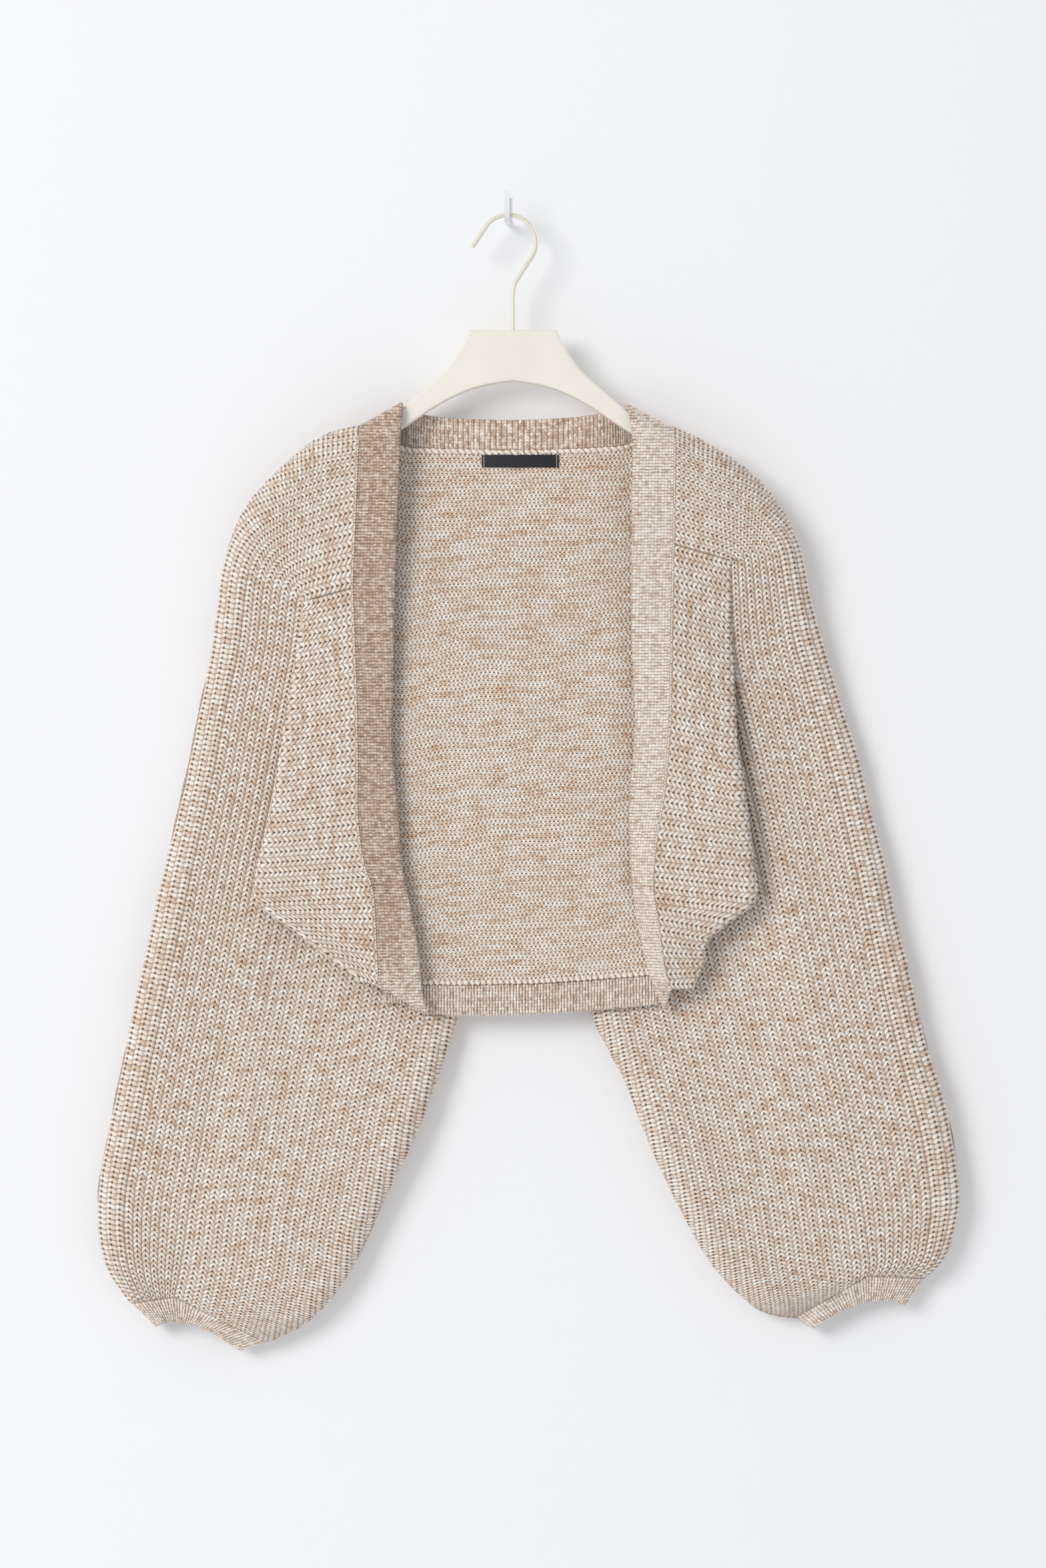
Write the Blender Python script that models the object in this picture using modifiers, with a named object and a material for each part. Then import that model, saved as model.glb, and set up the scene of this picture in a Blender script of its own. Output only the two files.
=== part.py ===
"""A knitted dolman shrug on a hanger, on a wall hook.

Metres, +Z up. The wall is the plane Y = 0 and the shrug hangs in front of it, towards -Y.
The origin is the middle of the wall hook's flat back. Left is -X, as the viewer sees it.
Tables are in millimetres and are turned to metres where points are made.
"""

import math

import bmesh
import bpy
import numpy as np

MM = 0.001
COLLECTION = "knitted_shrug"

# Cloth
KNIT_WALL = 3.0
BAND_WALL = 2.6
SEAM_GAP = 1.7  # between the middles of two walls that meet edge to edge at a rounded seam
BAND_GAP = 0.35  # between a band's edge and the panel it is linked to
FIRST_COLUMN = 1.2  # width of the column beside a rounded seam

# Colours, linear
KNIT_COLOUR = (0.62, 0.50, 0.40, 1.0)
BAND_COLOUR = (0.50, 0.38, 0.29, 1.0)
LABEL_COLOUR = (0.01, 0.01, 0.012, 1.0)
HANGER_COLOUR = (0.83, 0.80, 0.73, 1.0)
HOOK_COLOUR = (0.85, 0.85, 0.85, 1.0)

# A shoulder row runs across the ribs from the over-arm seam to the rib that reaches the underarm
# fold. Columns: outer x, outer z, inner x, inner z, y of the front wall, y of the seam, y of the rear wall.
SHOULDER = {
    "left": (
        (-110, -167, -115, -298, -43, -27, -14),
        (-138, -175, -127, -298, -43, -26, -13),
        (-160, -191, -137, -298, -43, -25, -11),
        (-182, -212, -144, -298, -42, -23, -9),
        (-199, -236, -148, -298, -41, -21, -8),
    ),
    "right": (
        (125, -169, 124, -268, -43, -27, -14),
        (148, -180, 136, -268, -43, -26, -13),
        (170, -194, 148, -268, -43, -25, -11),
        (191, -211, 158, -268, -42, -23, -9),
        (208, -235, 164, -268, -41, -21, -8),
    ),
}

# A sleeve row runs across the tube. Columns: outer x, z, rib x, z, underarm x, z, y of the front
# wall at that rib, y of the front wall inside it, y of both seams, y of the rear wall.
SLEEVE = {
    "left": (
        (-212, -272, -150, -298, -149, -299, -40, -40, -19, -7),
        (-219, -325, -156, -338, -141, -341, -31, -22, -14, -6),
        (-230, -375, -166, -388, -112, -399, -27, -17.5, -12, -6),
        (-240, -425, -176, -440, -76, -461, -26, -17.5, -12, -6),
        (-252, -478, -187, -493, -49, -525, -27, -17.5, -12, -6),
        (-265, -541, -200, -556, -36, -590, -28, -19, -13, -6),
        (-278, -600, -212, -616, -52, -651, -29, -26, -15, -6),
        (-289, -649, -222, -664, -71, -699, -30, -29, -16, -6),
        (-299, -698, -231, -713, -93, -745, -30, -30, -16, -6),
        (-306, -735, -238, -750, -108, -779, -29, -29, -16, -6),
        (-306, -768, -242, -780, -123, -807, -28, -28, -16, -6),
        (-299, -799, -246, -803, -148, -835, -26, -26, -15, -6),
        (-283, -825, -250, -820, -181, -854, -22, -22, -14, -7),
    ),
    "right": (
        (219, -262, 167, -268, 166, -269, -40, -40, -19, -7),
        (233, -319, 171, -335, 156, -339, -31, -22, -14, -6),
        (246, -360, 182, -378, 131, -393, -27, -17.5, -12, -6),
        (262, -412, 196, -432, 100, -460, -26, -17.5, -12, -6),
        (276, -466, 209, -488, 76, -532, -27, -17.5, -12, -6),
        (291, -530, 223, -552, 62, -596, -28, -19, -13, -6),
        (304, -588, 236, -610, 88, -653, -29, -26, -15, -6),
        (316, -635, 248, -658, 105, -697, -30, -29, -16, -6),
        (332, -690, 260, -714, 127, -745, -30, -30, -16, -6),
        (339, -737, 267, -755, 146, -781, -29, -29, -16, -6),
        (337, -762, 270, -778, 163, -805, -28, -28, -16, -6),
        (329, -790, 272, -795, 190, -829, -26, -26, -15, -6),
        (314, -806, 270, -804, 218, -835, -22, -22, -14, -7),
    ),
}

# The rear half's underarm edge on the first row below the fold's start, where it covers the slit.
REAR_UNDERARM = {"left": (-114, -346), "right": (129, -345)}

# A flap row is a rib of the front below the fold's start. Columns: seam x, z, fold edge x, z,
# y at the seam, y at the fold, radius of the fold, width turned under.
FLAP = {
    "left": (
        (-114, -322, -153, -322, -44, -43, 3.2, 5),
        (-112, -374, -161, -374, -45, -45, 4.6, 12),
        (-111, -425, -170, -425, -46, -46, 5.2, 20),
        (-111, -465, -177, -463, -47, -47, 5.6, 24),
        (-107, -500, -185, -496, -47, -46, 5.6, 24),
        (-100, -522, -188, -518, -48, -44, 5.0, 20),
        (-98, -541, -174, -533, -48, -43, 4.6, 16),
        (-97, -562, -149, -550, -47, -43, 4.2, 13),
        (-96, -577, -126, -567, -46, -43, 3.8, 10),
        (-96, -586, -106, -583, -45, -43, 3.4, 7),
    ),
    "right": (
        (123, -297, 165, -297, -45, -44, 3.4, 6),
        (122, -340, 167, -340, -47, -47, 5.0, 14),
        (121, -398, 170, -398, -48, -48, 5.6, 20),
        (117, -449, 176, -449, -49, -49, 6.0, 24),
        (110, -494, 182, -490, -50, -50, 6.2, 24),
        (108, -524, 183, -520, -50, -48, 5.6, 20),
        (111, -543, 162, -538, -50, -46, 4.8, 15),
        (113, -556, 148, -552, -50, -45, 4.4, 12),
        (116, -572, 145, -569, -49, -43, 4.2, 11),
        (121, -588, 138, -588, -47, -42, 3.6, 8),
    ),
}

# The back below the fold's start. Columns: left edge x, z, y, right edge x, z, y, y of the middle.
BACK_LOW = (
    (-127, -333, -24, 140, -305, -22, -24),
    (-137, -385, -28, 146, -365, -28, -27),
    (-154, -435, -29, 154, -420, -29, -28),
    (-168, -485, -29, 163, -470, -30, -29),
    (-171, -512, -29, 165, -508, -30, -29),
    (-157, -532, -29, 152, -530, -30, -29),
    (-136, -550, -29, 140, -548, -30, -29),
    (-120, -566, -29, 136, -562, -30, -29),
    (-113, -580, -29, 132, -576, -29, -29),
)
# Where the back leaves the underarm rib on each side: a row of SHOULDER.
BACK_SLIT_ROW = {"left": 1, "right": 1}
SEAM_X = {"left": -110, "right": 125}
# Columns: x, z of the neck or shoulder seam, y there.
BACK_TOP = ((-93, -177, -17), (-76, -185, -15), (-40, -186, -16), (0, -187, -17), (45, -186, -16),
            (90, -184, -15), (107, -177, -17))
APEX_MIDDLE_Y = -20

# Inner edge of each front band, from the shoulder down. Columns: x, z, y.
BAND_INNER = {
    "left": (
        (-78, -150, -28),
        (-78, -153, -40),
        (-80, -176, -44),
        (-82, -227, -45),
        (-84, -278, -45),
        (-85, -338, -46),
        (-86, -400, -47),
        (-83, -440, -48),
        (-78, -498, -48),
        (-73, -524, -49),
        (-66, -562, -48),
        (-63, -592, -47),
        (-58, -607, -45),
    ),
    "right": (
        (89, -151, -28),
        (90, -154, -40),
        (94, -178, -44),
        (94, -225, -45),
        (94, -276, -46),
        (94, -328, -47),
        (96, -392, -48),
        (92, -443, -47),
        (93, -494, -43),
        (96, -528, -39),
        (101, -552, -37),
        (108, -580, -36),
        (117, -604, -36),
    ),
}
BAND_COLUMNS = 5

# Neck band. Columns: x, top z, top y, seam z, seam y.
NECK_BAND = (
    (-101, -157, -20, -171, -19),
    (-86, -152, -18, -180, -16),
    (-74, -155, -17, -185, -15),
    (-47, -159, -15, -186, -16),
    (0, -161, -15, -187, -17),
    (50, -159, -15, -186, -16),
    (82, -154, -17, -184, -15),
    (98, -153, -18, -180, -16),
    (115, -158, -20, -172, -19),
)
# Hem band: its upper edge is the back's lower edge.
HEM_BAND_HEIGHT = 22
HEM_BAND_ENDS = (-92, 122)

# Cuffs, open edge only; the linked edge follows the sleeve's end. Columns: outer x, z, middle x, z,
# inner x, z, y of the front wall, y of the edges, y of the rear wall.
CUFF_END = {
    "left": (-264, -843, -238, -841, -201, -861, -20, -14, -8.5),
    "right": (299, -827, 268, -825, 230, -845, -20, -14, -8.5),
}
CUFF_GAP = 0.8
CUFF_ROWS = 4

# Neck label
LABEL_X = (-19.0, 39.0)
LABEL_Z = (-197.0, -187.5)
LABEL_WALL = 0.6
LABEL_OFF = 0.4
LABEL_BACK_Y = -17.4  # where the back hangs behind it

# Hanger body. Columns: distance out from the centre, z. The upper line runs out and the lower back.
HANGER_CENTRE_X = 4.5
HANGER_Y = -28.8
HANGER_THICK = 11.0
HANGER_ROUND = 1.6
HANGER_UPPER = ((33, -95), (37, -105), (45, -118), (57, -131), (90, -159), (120, -177), (142, -189), (160, -200))
HANGER_TIP = ((167, -206), (164, -212))
HANGER_LOWER = ((140, -198), (112, -186), (80, -167), (56, -151), (28, -138), (0, -133))

# Hanger hook: a bent wire
WIRE = 3.4
WIRE_GAP = 0.3
HOOK_RADIUS = 20.7
HOOK_CENTRE = (1.0, -29.0)
HOOK_START = 152
HOOK_END = -40
HOOK_TIP = (-26.0, -32.5)
HOOK_NECK = ((9.0, -54.5), (5.6, -60.5), (4.5, -68.0), (4.5, -80.0))  # x, z

# Wall hook: a strip bent to a J. Columns: y, z of its middle line, from the top of the back leg.
STRIP_WIDTH = 3.8
STRIP_THICK = 2.2
STRIP_LINE = ((-1.1, 9), (-1.1, -5.5), (-2.4, -9.2), (-6, -11.4), (-20, -11.8), (-27, -11.8), (-31, -10.9),
              (-33.6, -8), (-34.4, -4), (-34.6, 9))


def clear_scene():
    for existing in list(bpy.data.objects):
        bpy.data.objects.remove(existing, do_unlink=True)


def make_material(name, colour, roughness, metallic=0.0):
    material = bpy.data.materials.new(name)
    material.use_nodes = True
    shader = material.node_tree.nodes["Principled BSDF"]
    shader.inputs["Base Color"].default_value = colour
    shader.inputs["Roughness"].default_value = roughness
    shader.inputs["Metallic"].default_value = metallic
    material.diffuse_color = colour
    return material


def put_in_collection(made, material):
    made.data.materials.append(material)
    bpy.data.collections[COLLECTION].objects.link(made)
    return made


def blend(low, high, part):
    return tuple(a + (b - a) * part for a, b in zip(low, high))


def smooth_at(rows, place):
    """The row at a place between 0 and len(rows) - 1, on a Catmull-Rom curve through the rows."""
    last = len(rows) - 1
    start = max(min(int(place), last - 1), 0)
    part = place - start
    before, low, high, after = (np.array(rows[min(max(start + k, 0), last)], float) for k in (-1, 0, 1, 2))
    point = 0.5 * (
        2 * low
        + (high - before) * part
        + (2 * before - 5 * low + 4 * high - after) * part**2
        + (3 * low - before - 3 * high + after) * part**3
    )
    return tuple(float(v) for v in point)


def roundness(distance, reach):
    """How far a wall has swung from its seam to its full depth: a quarter of an ellipse."""
    part = min(max(distance / reach, 0), 1)
    return math.sqrt(1 - (1 - part) ** 2)


def seam_columns(width, count):
    """Places across a width, close together beside the rounded seam at 0."""
    return [0, FIRST_COLUMN / width, 4.5 / width, *np.linspace(11.0 / width, 1, count)]


class Sheet:
    """An open cloth surface made of grids whose shared borders are welded."""

    def __init__(self):
        self.mesh = bmesh.new()

    def grid(self, rows):
        made = [[self.mesh.verts.new([v * MM for v in point]) for point in row] for row in rows]
        for upper, lower in zip(made, made[1:]):
            for i in range(len(upper) - 1):
                self.mesh.faces.new((upper[i], upper[i + 1], lower[i + 1], lower[i]))

    def solid(self, name, wall, material):
        """Weld the grids and give them a wall, half on each side of the surface."""
        bmesh.ops.remove_doubles(self.mesh, verts=self.mesh.verts, dist=0.02 * MM)
        bmesh.ops.recalc_face_normals(self.mesh, faces=self.mesh.faces)
        bmesh.ops.triangulate(self.mesh, faces=self.mesh.faces)
        data = bpy.data.meshes.new(name)
        self.mesh.to_mesh(data)
        self.mesh.free()
        data.shade_smooth()
        made = put_in_collection(bpy.data.objects.new(name, data), material)
        wall_maker = made.modifiers.new("wall", "SOLIDIFY")
        wall_maker.thickness = wall * MM
        wall_maker.offset = 0
        return made


def shoulder_grid(side, front):
    """From the over-arm seam in to the underarm rib: the band seam's row first, the cuff's last."""
    lean = -1 if front else 1
    across = list(SHOULDER[side]) + [(r[0], r[1], r[2], r[3], r[6], r[8], r[9]) for r in SLEEVE[side]]
    rows = []
    for index, (ox, oz, ix, iz, front_y, seam_y, rear_y) in enumerate(across):
        if index == 0 and not front:
            ix = SEAM_X[side]
        edge_y = seam_y + lean * SEAM_GAP / 2
        full_y = front_y if front else rear_y
        width = math.hypot(ix - ox, iz - oz)
        row = []
        for part in seam_columns(width, 5):
            x, z = blend((ox, oz), (ix, iz), part)
            row.append((x, edge_y + (full_y - edge_y) * roundness(part * width, 17), z))
        rows.append(row)
    return rows


def underarm_grid(side, front, slit):
    """From the underarm rib in to the underarm seam. The first row is the slit's own points."""
    lean = -1 if front else 1
    count = 8
    rows = [[slit[min(i, len(slit) - 1)] for i in range(count)]]
    for level, section in enumerate(SLEEVE[side][1:]):
        _, _, rib_x, rib_z, arm_x, arm_z, rib_y, inner_y, seam_y, rear_y = section
        if level == 0 and not front:
            arm_x, arm_z = REAR_UNDERARM[side]
        edge_y = seam_y + lean * SEAM_GAP / 2
        start_y, full_y = (rib_y, inner_y) if front else (rear_y, rear_y)
        width = math.hypot(arm_x - rib_x, arm_z - rib_z)
        reach = min(15, width / 2)
        row = []
        for part in reversed(seam_columns(width, count - 3)):
            x, z = blend((arm_x, arm_z), (rib_x, rib_z), part)
            ease = min((1 - part) / 0.3, 1)
            depth = start_y + (full_y - start_y) * ease * ease * (3 - 2 * ease)
            row.append((x, edge_y + (depth - edge_y) * roundness(part * width, reach), z))
        rows.append(row)
    return rows


def flap_grid(side, first_rib):
    """The front below the fold's start: each rib from the band seam to the fold, and turned under."""
    outward = -1 if side == "left" else 1
    turns = (45, 90, 135, 180)
    rows = [first_rib + [first_rib[-1]] * (len(turns) + 1)]
    for seam_x, seam_z, fold_x, fold_z, seam_y, fold_y, radius, under in FLAP[side]:
        centre_x = fold_x - outward * radius
        row = []
        for x, _, _ in first_rib:
            part = (x - first_rib[0][0]) / (first_rib[-1][0] - first_rib[0][0])
            row.append(blend((seam_x, seam_y, seam_z), (centre_x, fold_y, fold_z), part))
        for turn in turns:
            angle = math.radians(turn)
            row.append((centre_x + outward * radius * math.sin(angle),
                        fold_y + radius * (1 - math.cos(angle)), fold_z))
        row.append((centre_x - outward * under, fold_y + 2 * radius, fold_z))
        rows.append(row)
    return rows


def front_panel(side, material):
    """One front with the front half of its sleeve. Returns its band seam and its sleeve's end."""
    sheet = Sheet()
    upper = shoulder_grid(side, front=True)
    first_rib = [row[-1] for row in upper[: len(SHOULDER[side]) + 1]]
    flap = flap_grid(side, first_rib)
    sheet.grid(upper)
    underarm = underarm_grid(side, True, [first_rib[-1]])
    sheet.grid(underarm)
    sheet.grid(flap)
    sheet.solid(f"front_{side}", KNIT_WALL, material)
    return upper[0] + [row[0] for row in flap[1:]], upper[-1] + underarm[-1][1:]


def back_panel(material):
    """The back with the rear halves of both sleeves. Returns its hem seam and its sleeves' ends."""
    sheet = Sheet()
    upper = {side: shoulder_grid(side, front=False) for side in ("left", "right")}
    ribs = {side: [row[-1] for row in upper[side][: len(SHOULDER[side]) + 1]] for side in upper}
    ends = {}
    for side in upper:
        sheet.grid(upper[side])
        slit = ribs[side][: BACK_SLIT_ROW[side] - 1 : -1]
        underarm = underarm_grid(side, False, slit)
        sheet.grid(underarm)
        ends[side] = upper[side][-1] + underarm[-1][1:]

    left, right = upper["left"][0], upper["right"][0]
    span = SEAM_X["right"] - SEAM_X["left"]
    middle = []
    for left_point, right_point in zip(left, right):
        row = [left_point]
        for x, top_z, top_y in BACK_TOP:
            across = (x - SEAM_X["left"]) / span
            low_z = left[-1][2] + (right[-1][2] - left[-1][2]) * across
            left_down = (left[0][2] - left_point[2]) / (left[0][2] - left[-1][2])
            right_down = (right[0][2] - right_point[2]) / (right[0][2] - right[-1][2])
            down = left_down + (right_down - left_down) * across
            row.append((x, top_y + (APEX_MIDDLE_Y - top_y) * down, top_z + (low_z - top_z) * down))
        middle.append(row + [right_point])
    sheet.grid(middle)

    def side_points(side, base, edge):
        """Points of one lower row outside the middle, from its side line to its edge."""
        ribs_out = ribs[side][: BACK_SLIT_ROW[side] + 1]
        reach = ribs_out[-1][0] - ribs_out[0][0]
        return [blend(base, edge, (p[0] - ribs_out[0][0]) / reach) for p in ribs_out]

    top_row = middle[-1]
    lower = [list(reversed(ribs["left"][1 : BACK_SLIT_ROW["left"] + 1])) + top_row
             + ribs["right"][1 : BACK_SLIT_ROW["right"] + 1]]
    for left_x, left_z, left_y, right_x, right_z, right_y, middle_y in BACK_LOW:
        row_middle = []
        for x, _, _ in top_row:
            across = (x - SEAM_X["left"]) / span
            row_middle.append((x, middle_y, left_z + (right_z - left_z) * across))
        left_side = side_points("left", row_middle[0], (left_x, left_y, left_z))
        right_side = side_points("right", row_middle[-1], (right_x, right_y, right_z))
        lower.append(list(reversed(left_side[1:])) + row_middle + right_side[1:])
    sheet.grid(lower)
    sheet.solid("back", KNIT_WALL, material)
    return lower[-1], ends


def front_band(side, seam, material):
    """The ribbed band along a front, from its linked edge to its free edge."""
    inward = 1 if side == "left" else -1
    top, bottom = seam[0][2], seam[-1][2]
    rows = []
    for x, y, z in seam:
        down = (top - z) / (top - bottom)
        place = down_place(BAND_INNER[side], down)
        inner = smooth_at(BAND_INNER[side], place)
        end = (inner[0], inner[2], inner[1])
        slant = abs(inner[2] - y) / math.hypot(inner[0] - x, inner[2] - y)
        start = (x + inward * (BAND_GAP + slant * KNIT_WALL / 2), y, z)
        rows.append([blend(start, end, i / BAND_COLUMNS) for i in range(BAND_COLUMNS + 1)])
    sheet = Sheet()
    sheet.grid(rows)
    return sheet.solid(f"front_band_{side}", BAND_WALL, material)


def down_place(table, down):
    """The place in a table of points whose height is this share of the way down it."""
    top, bottom = table[0][1], table[-1][1]
    target = top + (bottom - top) * down
    for i in range(len(table) - 1):
        high, low = table[i][1], table[i + 1][1]
        if target >= low or i == len(table) - 2:
            return i + min(max((high - target) / (high - low), 0), 1)
    return 0.0


def neck_band(material):
    rows = []
    for i in range(5):
        part = i / 4
        rows.append([(x, ty + (sy - ty) * part, tz + (sz + BAND_GAP - tz) * part)
                     for x, tz, ty, sz, sy in NECK_BAND])
    sheet = Sheet()
    sheet.grid(rows)
    return sheet.solid("neck_band", BAND_WALL, material)


def hem_band(hem_seam, material):
    """The ribbed band below the back, hung from the back's own lower edge."""
    low, high = HEM_BAND_ENDS
    top = [(x, y, z - BAND_GAP) for x, y, z in hem_seam if low < x < high]
    ends = []
    for limit in (low, high):
        ends.append((limit, top[0][1], np.interp(limit, [p[0] for p in hem_seam], [p[2] for p in hem_seam])
                     - BAND_GAP))
    top = [ends[0]] + top + [ends[1]]
    rows = [[(x, y, z - HEM_BAND_HEIGHT * i / 4) for x, y, z in top] for i in range(5)]
    sheet = Sheet()
    sheet.grid(rows)
    return sheet.solid("hem_band", BAND_WALL, material)


def cuff(side, linked, material):
    """A flattened ribbed ring, open at both ends: linked is the sleeve's last ring of points."""
    ox, oz, mx, mz, ix, iz, front_y, edge_y, rear_y = CUFF_END[side]
    bend_x, bend_z = 2 * mx - (ox + ix) / 2, 2 * mz - (oz + iz) / 2
    width = math.hypot(ix - ox, iz - oz)
    start_x, end_x = linked[0][0][0], linked[0][-1][0]
    rows = []
    for points, full_y in zip(linked, (front_y, rear_y)):
        for x, y, z in points:
            part = (x - start_x) / (end_x - start_x)
            first, second, third = (1 - part) ** 2, 2 * part * (1 - part), part**2
            away = (
                first * ox + second * bend_x + third * ix,
                edge_y + (full_y - edge_y) * roundness(min(part, 1 - part) * width, 9),
                first * oz + second * bend_z + third * iz,
            )
            length = math.dist((x, y, z), away)
            near = blend((x, y, z), away, CUFF_GAP / length)
            rows.append([blend(near, away, step / CUFF_ROWS) for step in range(CUFF_ROWS + 1)])
    rows.append(rows[0])
    sheet = Sheet()
    sheet.grid(rows)
    return sheet.solid(f"cuff_{side}", BAND_WALL, material)


def neck_label(material):
    """A woven label in front of the back's inside, just under the neck band."""
    y = LABEL_BACK_Y - KNIT_WALL / 2 - LABEL_OFF - LABEL_WALL / 2
    bpy.ops.mesh.primitive_cube_add(size=1, location=(0, 0, 0))
    made = bpy.context.object
    made.name = "neck_label"
    width, height = LABEL_X[1] - LABEL_X[0], LABEL_Z[1] - LABEL_Z[0]
    made.dimensions = (width * MM, LABEL_WALL * MM, height * MM)
    made.location = (sum(LABEL_X) / 2 * MM, y * MM, sum(LABEL_Z) / 2 * MM)
    bpy.context.collection.objects.unlink(made)
    return put_in_collection(made, material)


def curve_object(name, points, material, cyclic=False, flat=False):
    data = bpy.data.curves.new(name, "CURVE")
    data.dimensions = "2D" if flat else "3D"
    spline = data.splines.new("POLY")
    spline.points.add(len(points) - 1)
    for target, point in zip(spline.points, points):
        target.co = (*(v * MM for v in point), 1)
    spline.use_cyclic_u = cyclic
    made = bpy.data.objects.new(name, data)
    return put_in_collection(made, material)


def hanger_body(material):
    half = [*HANGER_UPPER, *HANGER_TIP, *HANGER_LOWER]
    count = 40
    smooth = [smooth_at(half, i * (len(half) - 1) / count) for i in range(count + 1)]
    right = [(HANGER_CENTRE_X + x, z, 0) for x, z in smooth]
    left = [(HANGER_CENTRE_X - x, z, 0) for x, z in reversed(smooth[:-1])]
    made = curve_object("hanger", right + left, material, cyclic=True, flat=True)
    made.data.fill_mode = "BOTH"
    made.data.extrude = (HANGER_THICK / 2 - HANGER_ROUND) * MM
    made.data.bevel_depth = HANGER_ROUND * MM
    made.data.bevel_resolution = 1
    made.data.offset = -HANGER_ROUND * MM
    made.rotation_euler = (math.radians(90), 0, 0)
    made.location = (0, HANGER_Y * MM, 0)
    return made


def hanger_hook(material):
    cx, cz = HOOK_CENTRE
    arc = []
    for i in range(25):
        angle = math.radians(HOOK_START + (HOOK_END - HOOK_START) * i / 24)
        arc.append((cx + HOOK_RADIUS * math.cos(angle), cz + HOOK_RADIUS * math.sin(angle)))
    foot = (HANGER_CENTRE_X, HANGER_UPPER[0][1] + WIRE_GAP)
    neck = [HOOK_NECK[0], HOOK_NECK[1], HOOK_NECK[2], HOOK_NECK[3], foot]
    bend = [arc[-1]] + neck
    smooth = [smooth_at(bend, i * (len(bend) - 1) / 20) for i in range(1, 21)]
    line = [HOOK_TIP] + arc + smooth
    made = curve_object("hanger_hook", [(x, HANGER_Y, z) for x, z in line], material)
    made.data.bevel_depth = WIRE / 2 * MM
    made.data.bevel_resolution = 2
    made.data.use_fill_caps = True
    return made


def wall_hook(material):
    """A J cut from the two sides of its middle line, across the strip's width."""
    count = 36
    line = [smooth_at(STRIP_LINE, i * (len(STRIP_LINE) - 1) / count) for i in range(count + 1)]
    line[0] = STRIP_LINE[0]
    sides = ([], [])
    for i, (y, z) in enumerate(line):
        before, after = line[max(i - 1, 0)], line[min(i + 1, count)]
        run = math.hypot(after[0] - before[0], after[1] - before[1])
        across = (-(after[1] - before[1]) / run, (after[0] - before[0]) / run)
        for sign, side in zip((1, -1), sides):
            side.append((min(y + sign * across[0] * STRIP_THICK / 2, 0), z + sign * across[1] * STRIP_THICK / 2, 0))
    made = curve_object("wall_hook", sides[0] + sides[1][::-1], material, cyclic=True, flat=True)
    made.data.fill_mode = "BOTH"
    made.data.extrude = STRIP_WIDTH / 2 * MM
    made.rotation_euler = (math.radians(90), 0, math.radians(90))
    return made


def main():
    clear_scene()
    collection = bpy.data.collections.new(COLLECTION)
    bpy.context.scene.collection.children.link(collection)
    knit = make_material("wool_blend_knit", KNIT_COLOUR, 0.9)
    ribbing = make_material("ribbed_band_knit", BAND_COLOUR, 0.9)
    woven = make_material("black_woven_label", LABEL_COLOUR, 0.7)
    moulded = make_material("moulded_hanger", HANGER_COLOUR, 0.45)
    painted = make_material("painted_steel", HOOK_COLOUR, 0.35)

    hem_seam, rear_ends = back_panel(knit)
    hem_band(hem_seam, ribbing)
    for side in ("left", "right"):
        seam, front_end = front_panel(side, knit)
        front_band(side, seam, ribbing)
        cuff(side, (front_end, rear_ends[side][::-1]), ribbing)
    neck_band(ribbing)
    neck_label(woven)
    hanger_body(moulded)
    hanger_hook(painted)
    wall_hook(painted)


main()
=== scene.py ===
"""Looks for a knitted shrug on a hanger, on a wall hook.

Metres, +Z up, the wall is the plane Y = 0 and the shrug hangs towards -Y. Left is -X.
Tables are in millimetres. Every knitted surface carries a UV map named "knit": U counts wales (ribs)
and V counts stitches along them, so the yarn follows the shape.
"""

import math

import bmesh
import bpy
import numpy as np
from mathutils import Matrix, Vector


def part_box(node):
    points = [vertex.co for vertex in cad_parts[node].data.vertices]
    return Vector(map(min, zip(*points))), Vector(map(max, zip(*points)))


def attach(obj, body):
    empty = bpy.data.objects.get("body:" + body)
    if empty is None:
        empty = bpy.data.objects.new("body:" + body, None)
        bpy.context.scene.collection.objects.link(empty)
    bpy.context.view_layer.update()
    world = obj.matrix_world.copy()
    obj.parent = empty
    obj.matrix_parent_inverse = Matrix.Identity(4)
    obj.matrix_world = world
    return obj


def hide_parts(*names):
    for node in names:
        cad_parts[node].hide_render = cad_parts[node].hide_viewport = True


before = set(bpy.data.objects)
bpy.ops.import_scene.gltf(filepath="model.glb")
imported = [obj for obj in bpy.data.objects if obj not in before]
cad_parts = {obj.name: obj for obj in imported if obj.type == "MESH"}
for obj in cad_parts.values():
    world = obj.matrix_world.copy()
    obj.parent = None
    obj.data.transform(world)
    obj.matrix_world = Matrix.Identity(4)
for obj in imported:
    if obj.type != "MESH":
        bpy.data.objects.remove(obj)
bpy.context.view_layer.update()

MM = 0.001
WALL = 3.0  # thickness of the body's cloth
BAND_WALL = 2.6
SEAM_GAP = 0.6  # between the middles of the two walls along the rounded side seams
APEX_WALE = 17  # the wale that reaches the underarm fold
BODY_WALE = 7.85  # from one rib to the next
SLEEVE_WALE = 7.0
BAND_RIB = 2.25
BODY_STITCH = 3.7  # length of a stitch along its rib
SLEEVE_STITCH = 3.9
REVERSE_STITCH = 3.25
BAND_STITCH = 2.4
LEG_SLANT = -1.6  # stitches that a leg drops from a wale's middle to its edge
LEG_MIDDLE, LEG_HALF = 0.23, 0.3  # of a wale: where a leg lies from the wale's middle, and its half width
FREE_EDGE = 0.4  # share of the relief that is left at a free edge
UNDERARM = 5  # row of a sleeve's surface at the underarm
SLEEVE_END = 17  # and at the cuff
LOOSE = np.random.default_rng(11)  # how much one loop of a linking chain differs from the next
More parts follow.
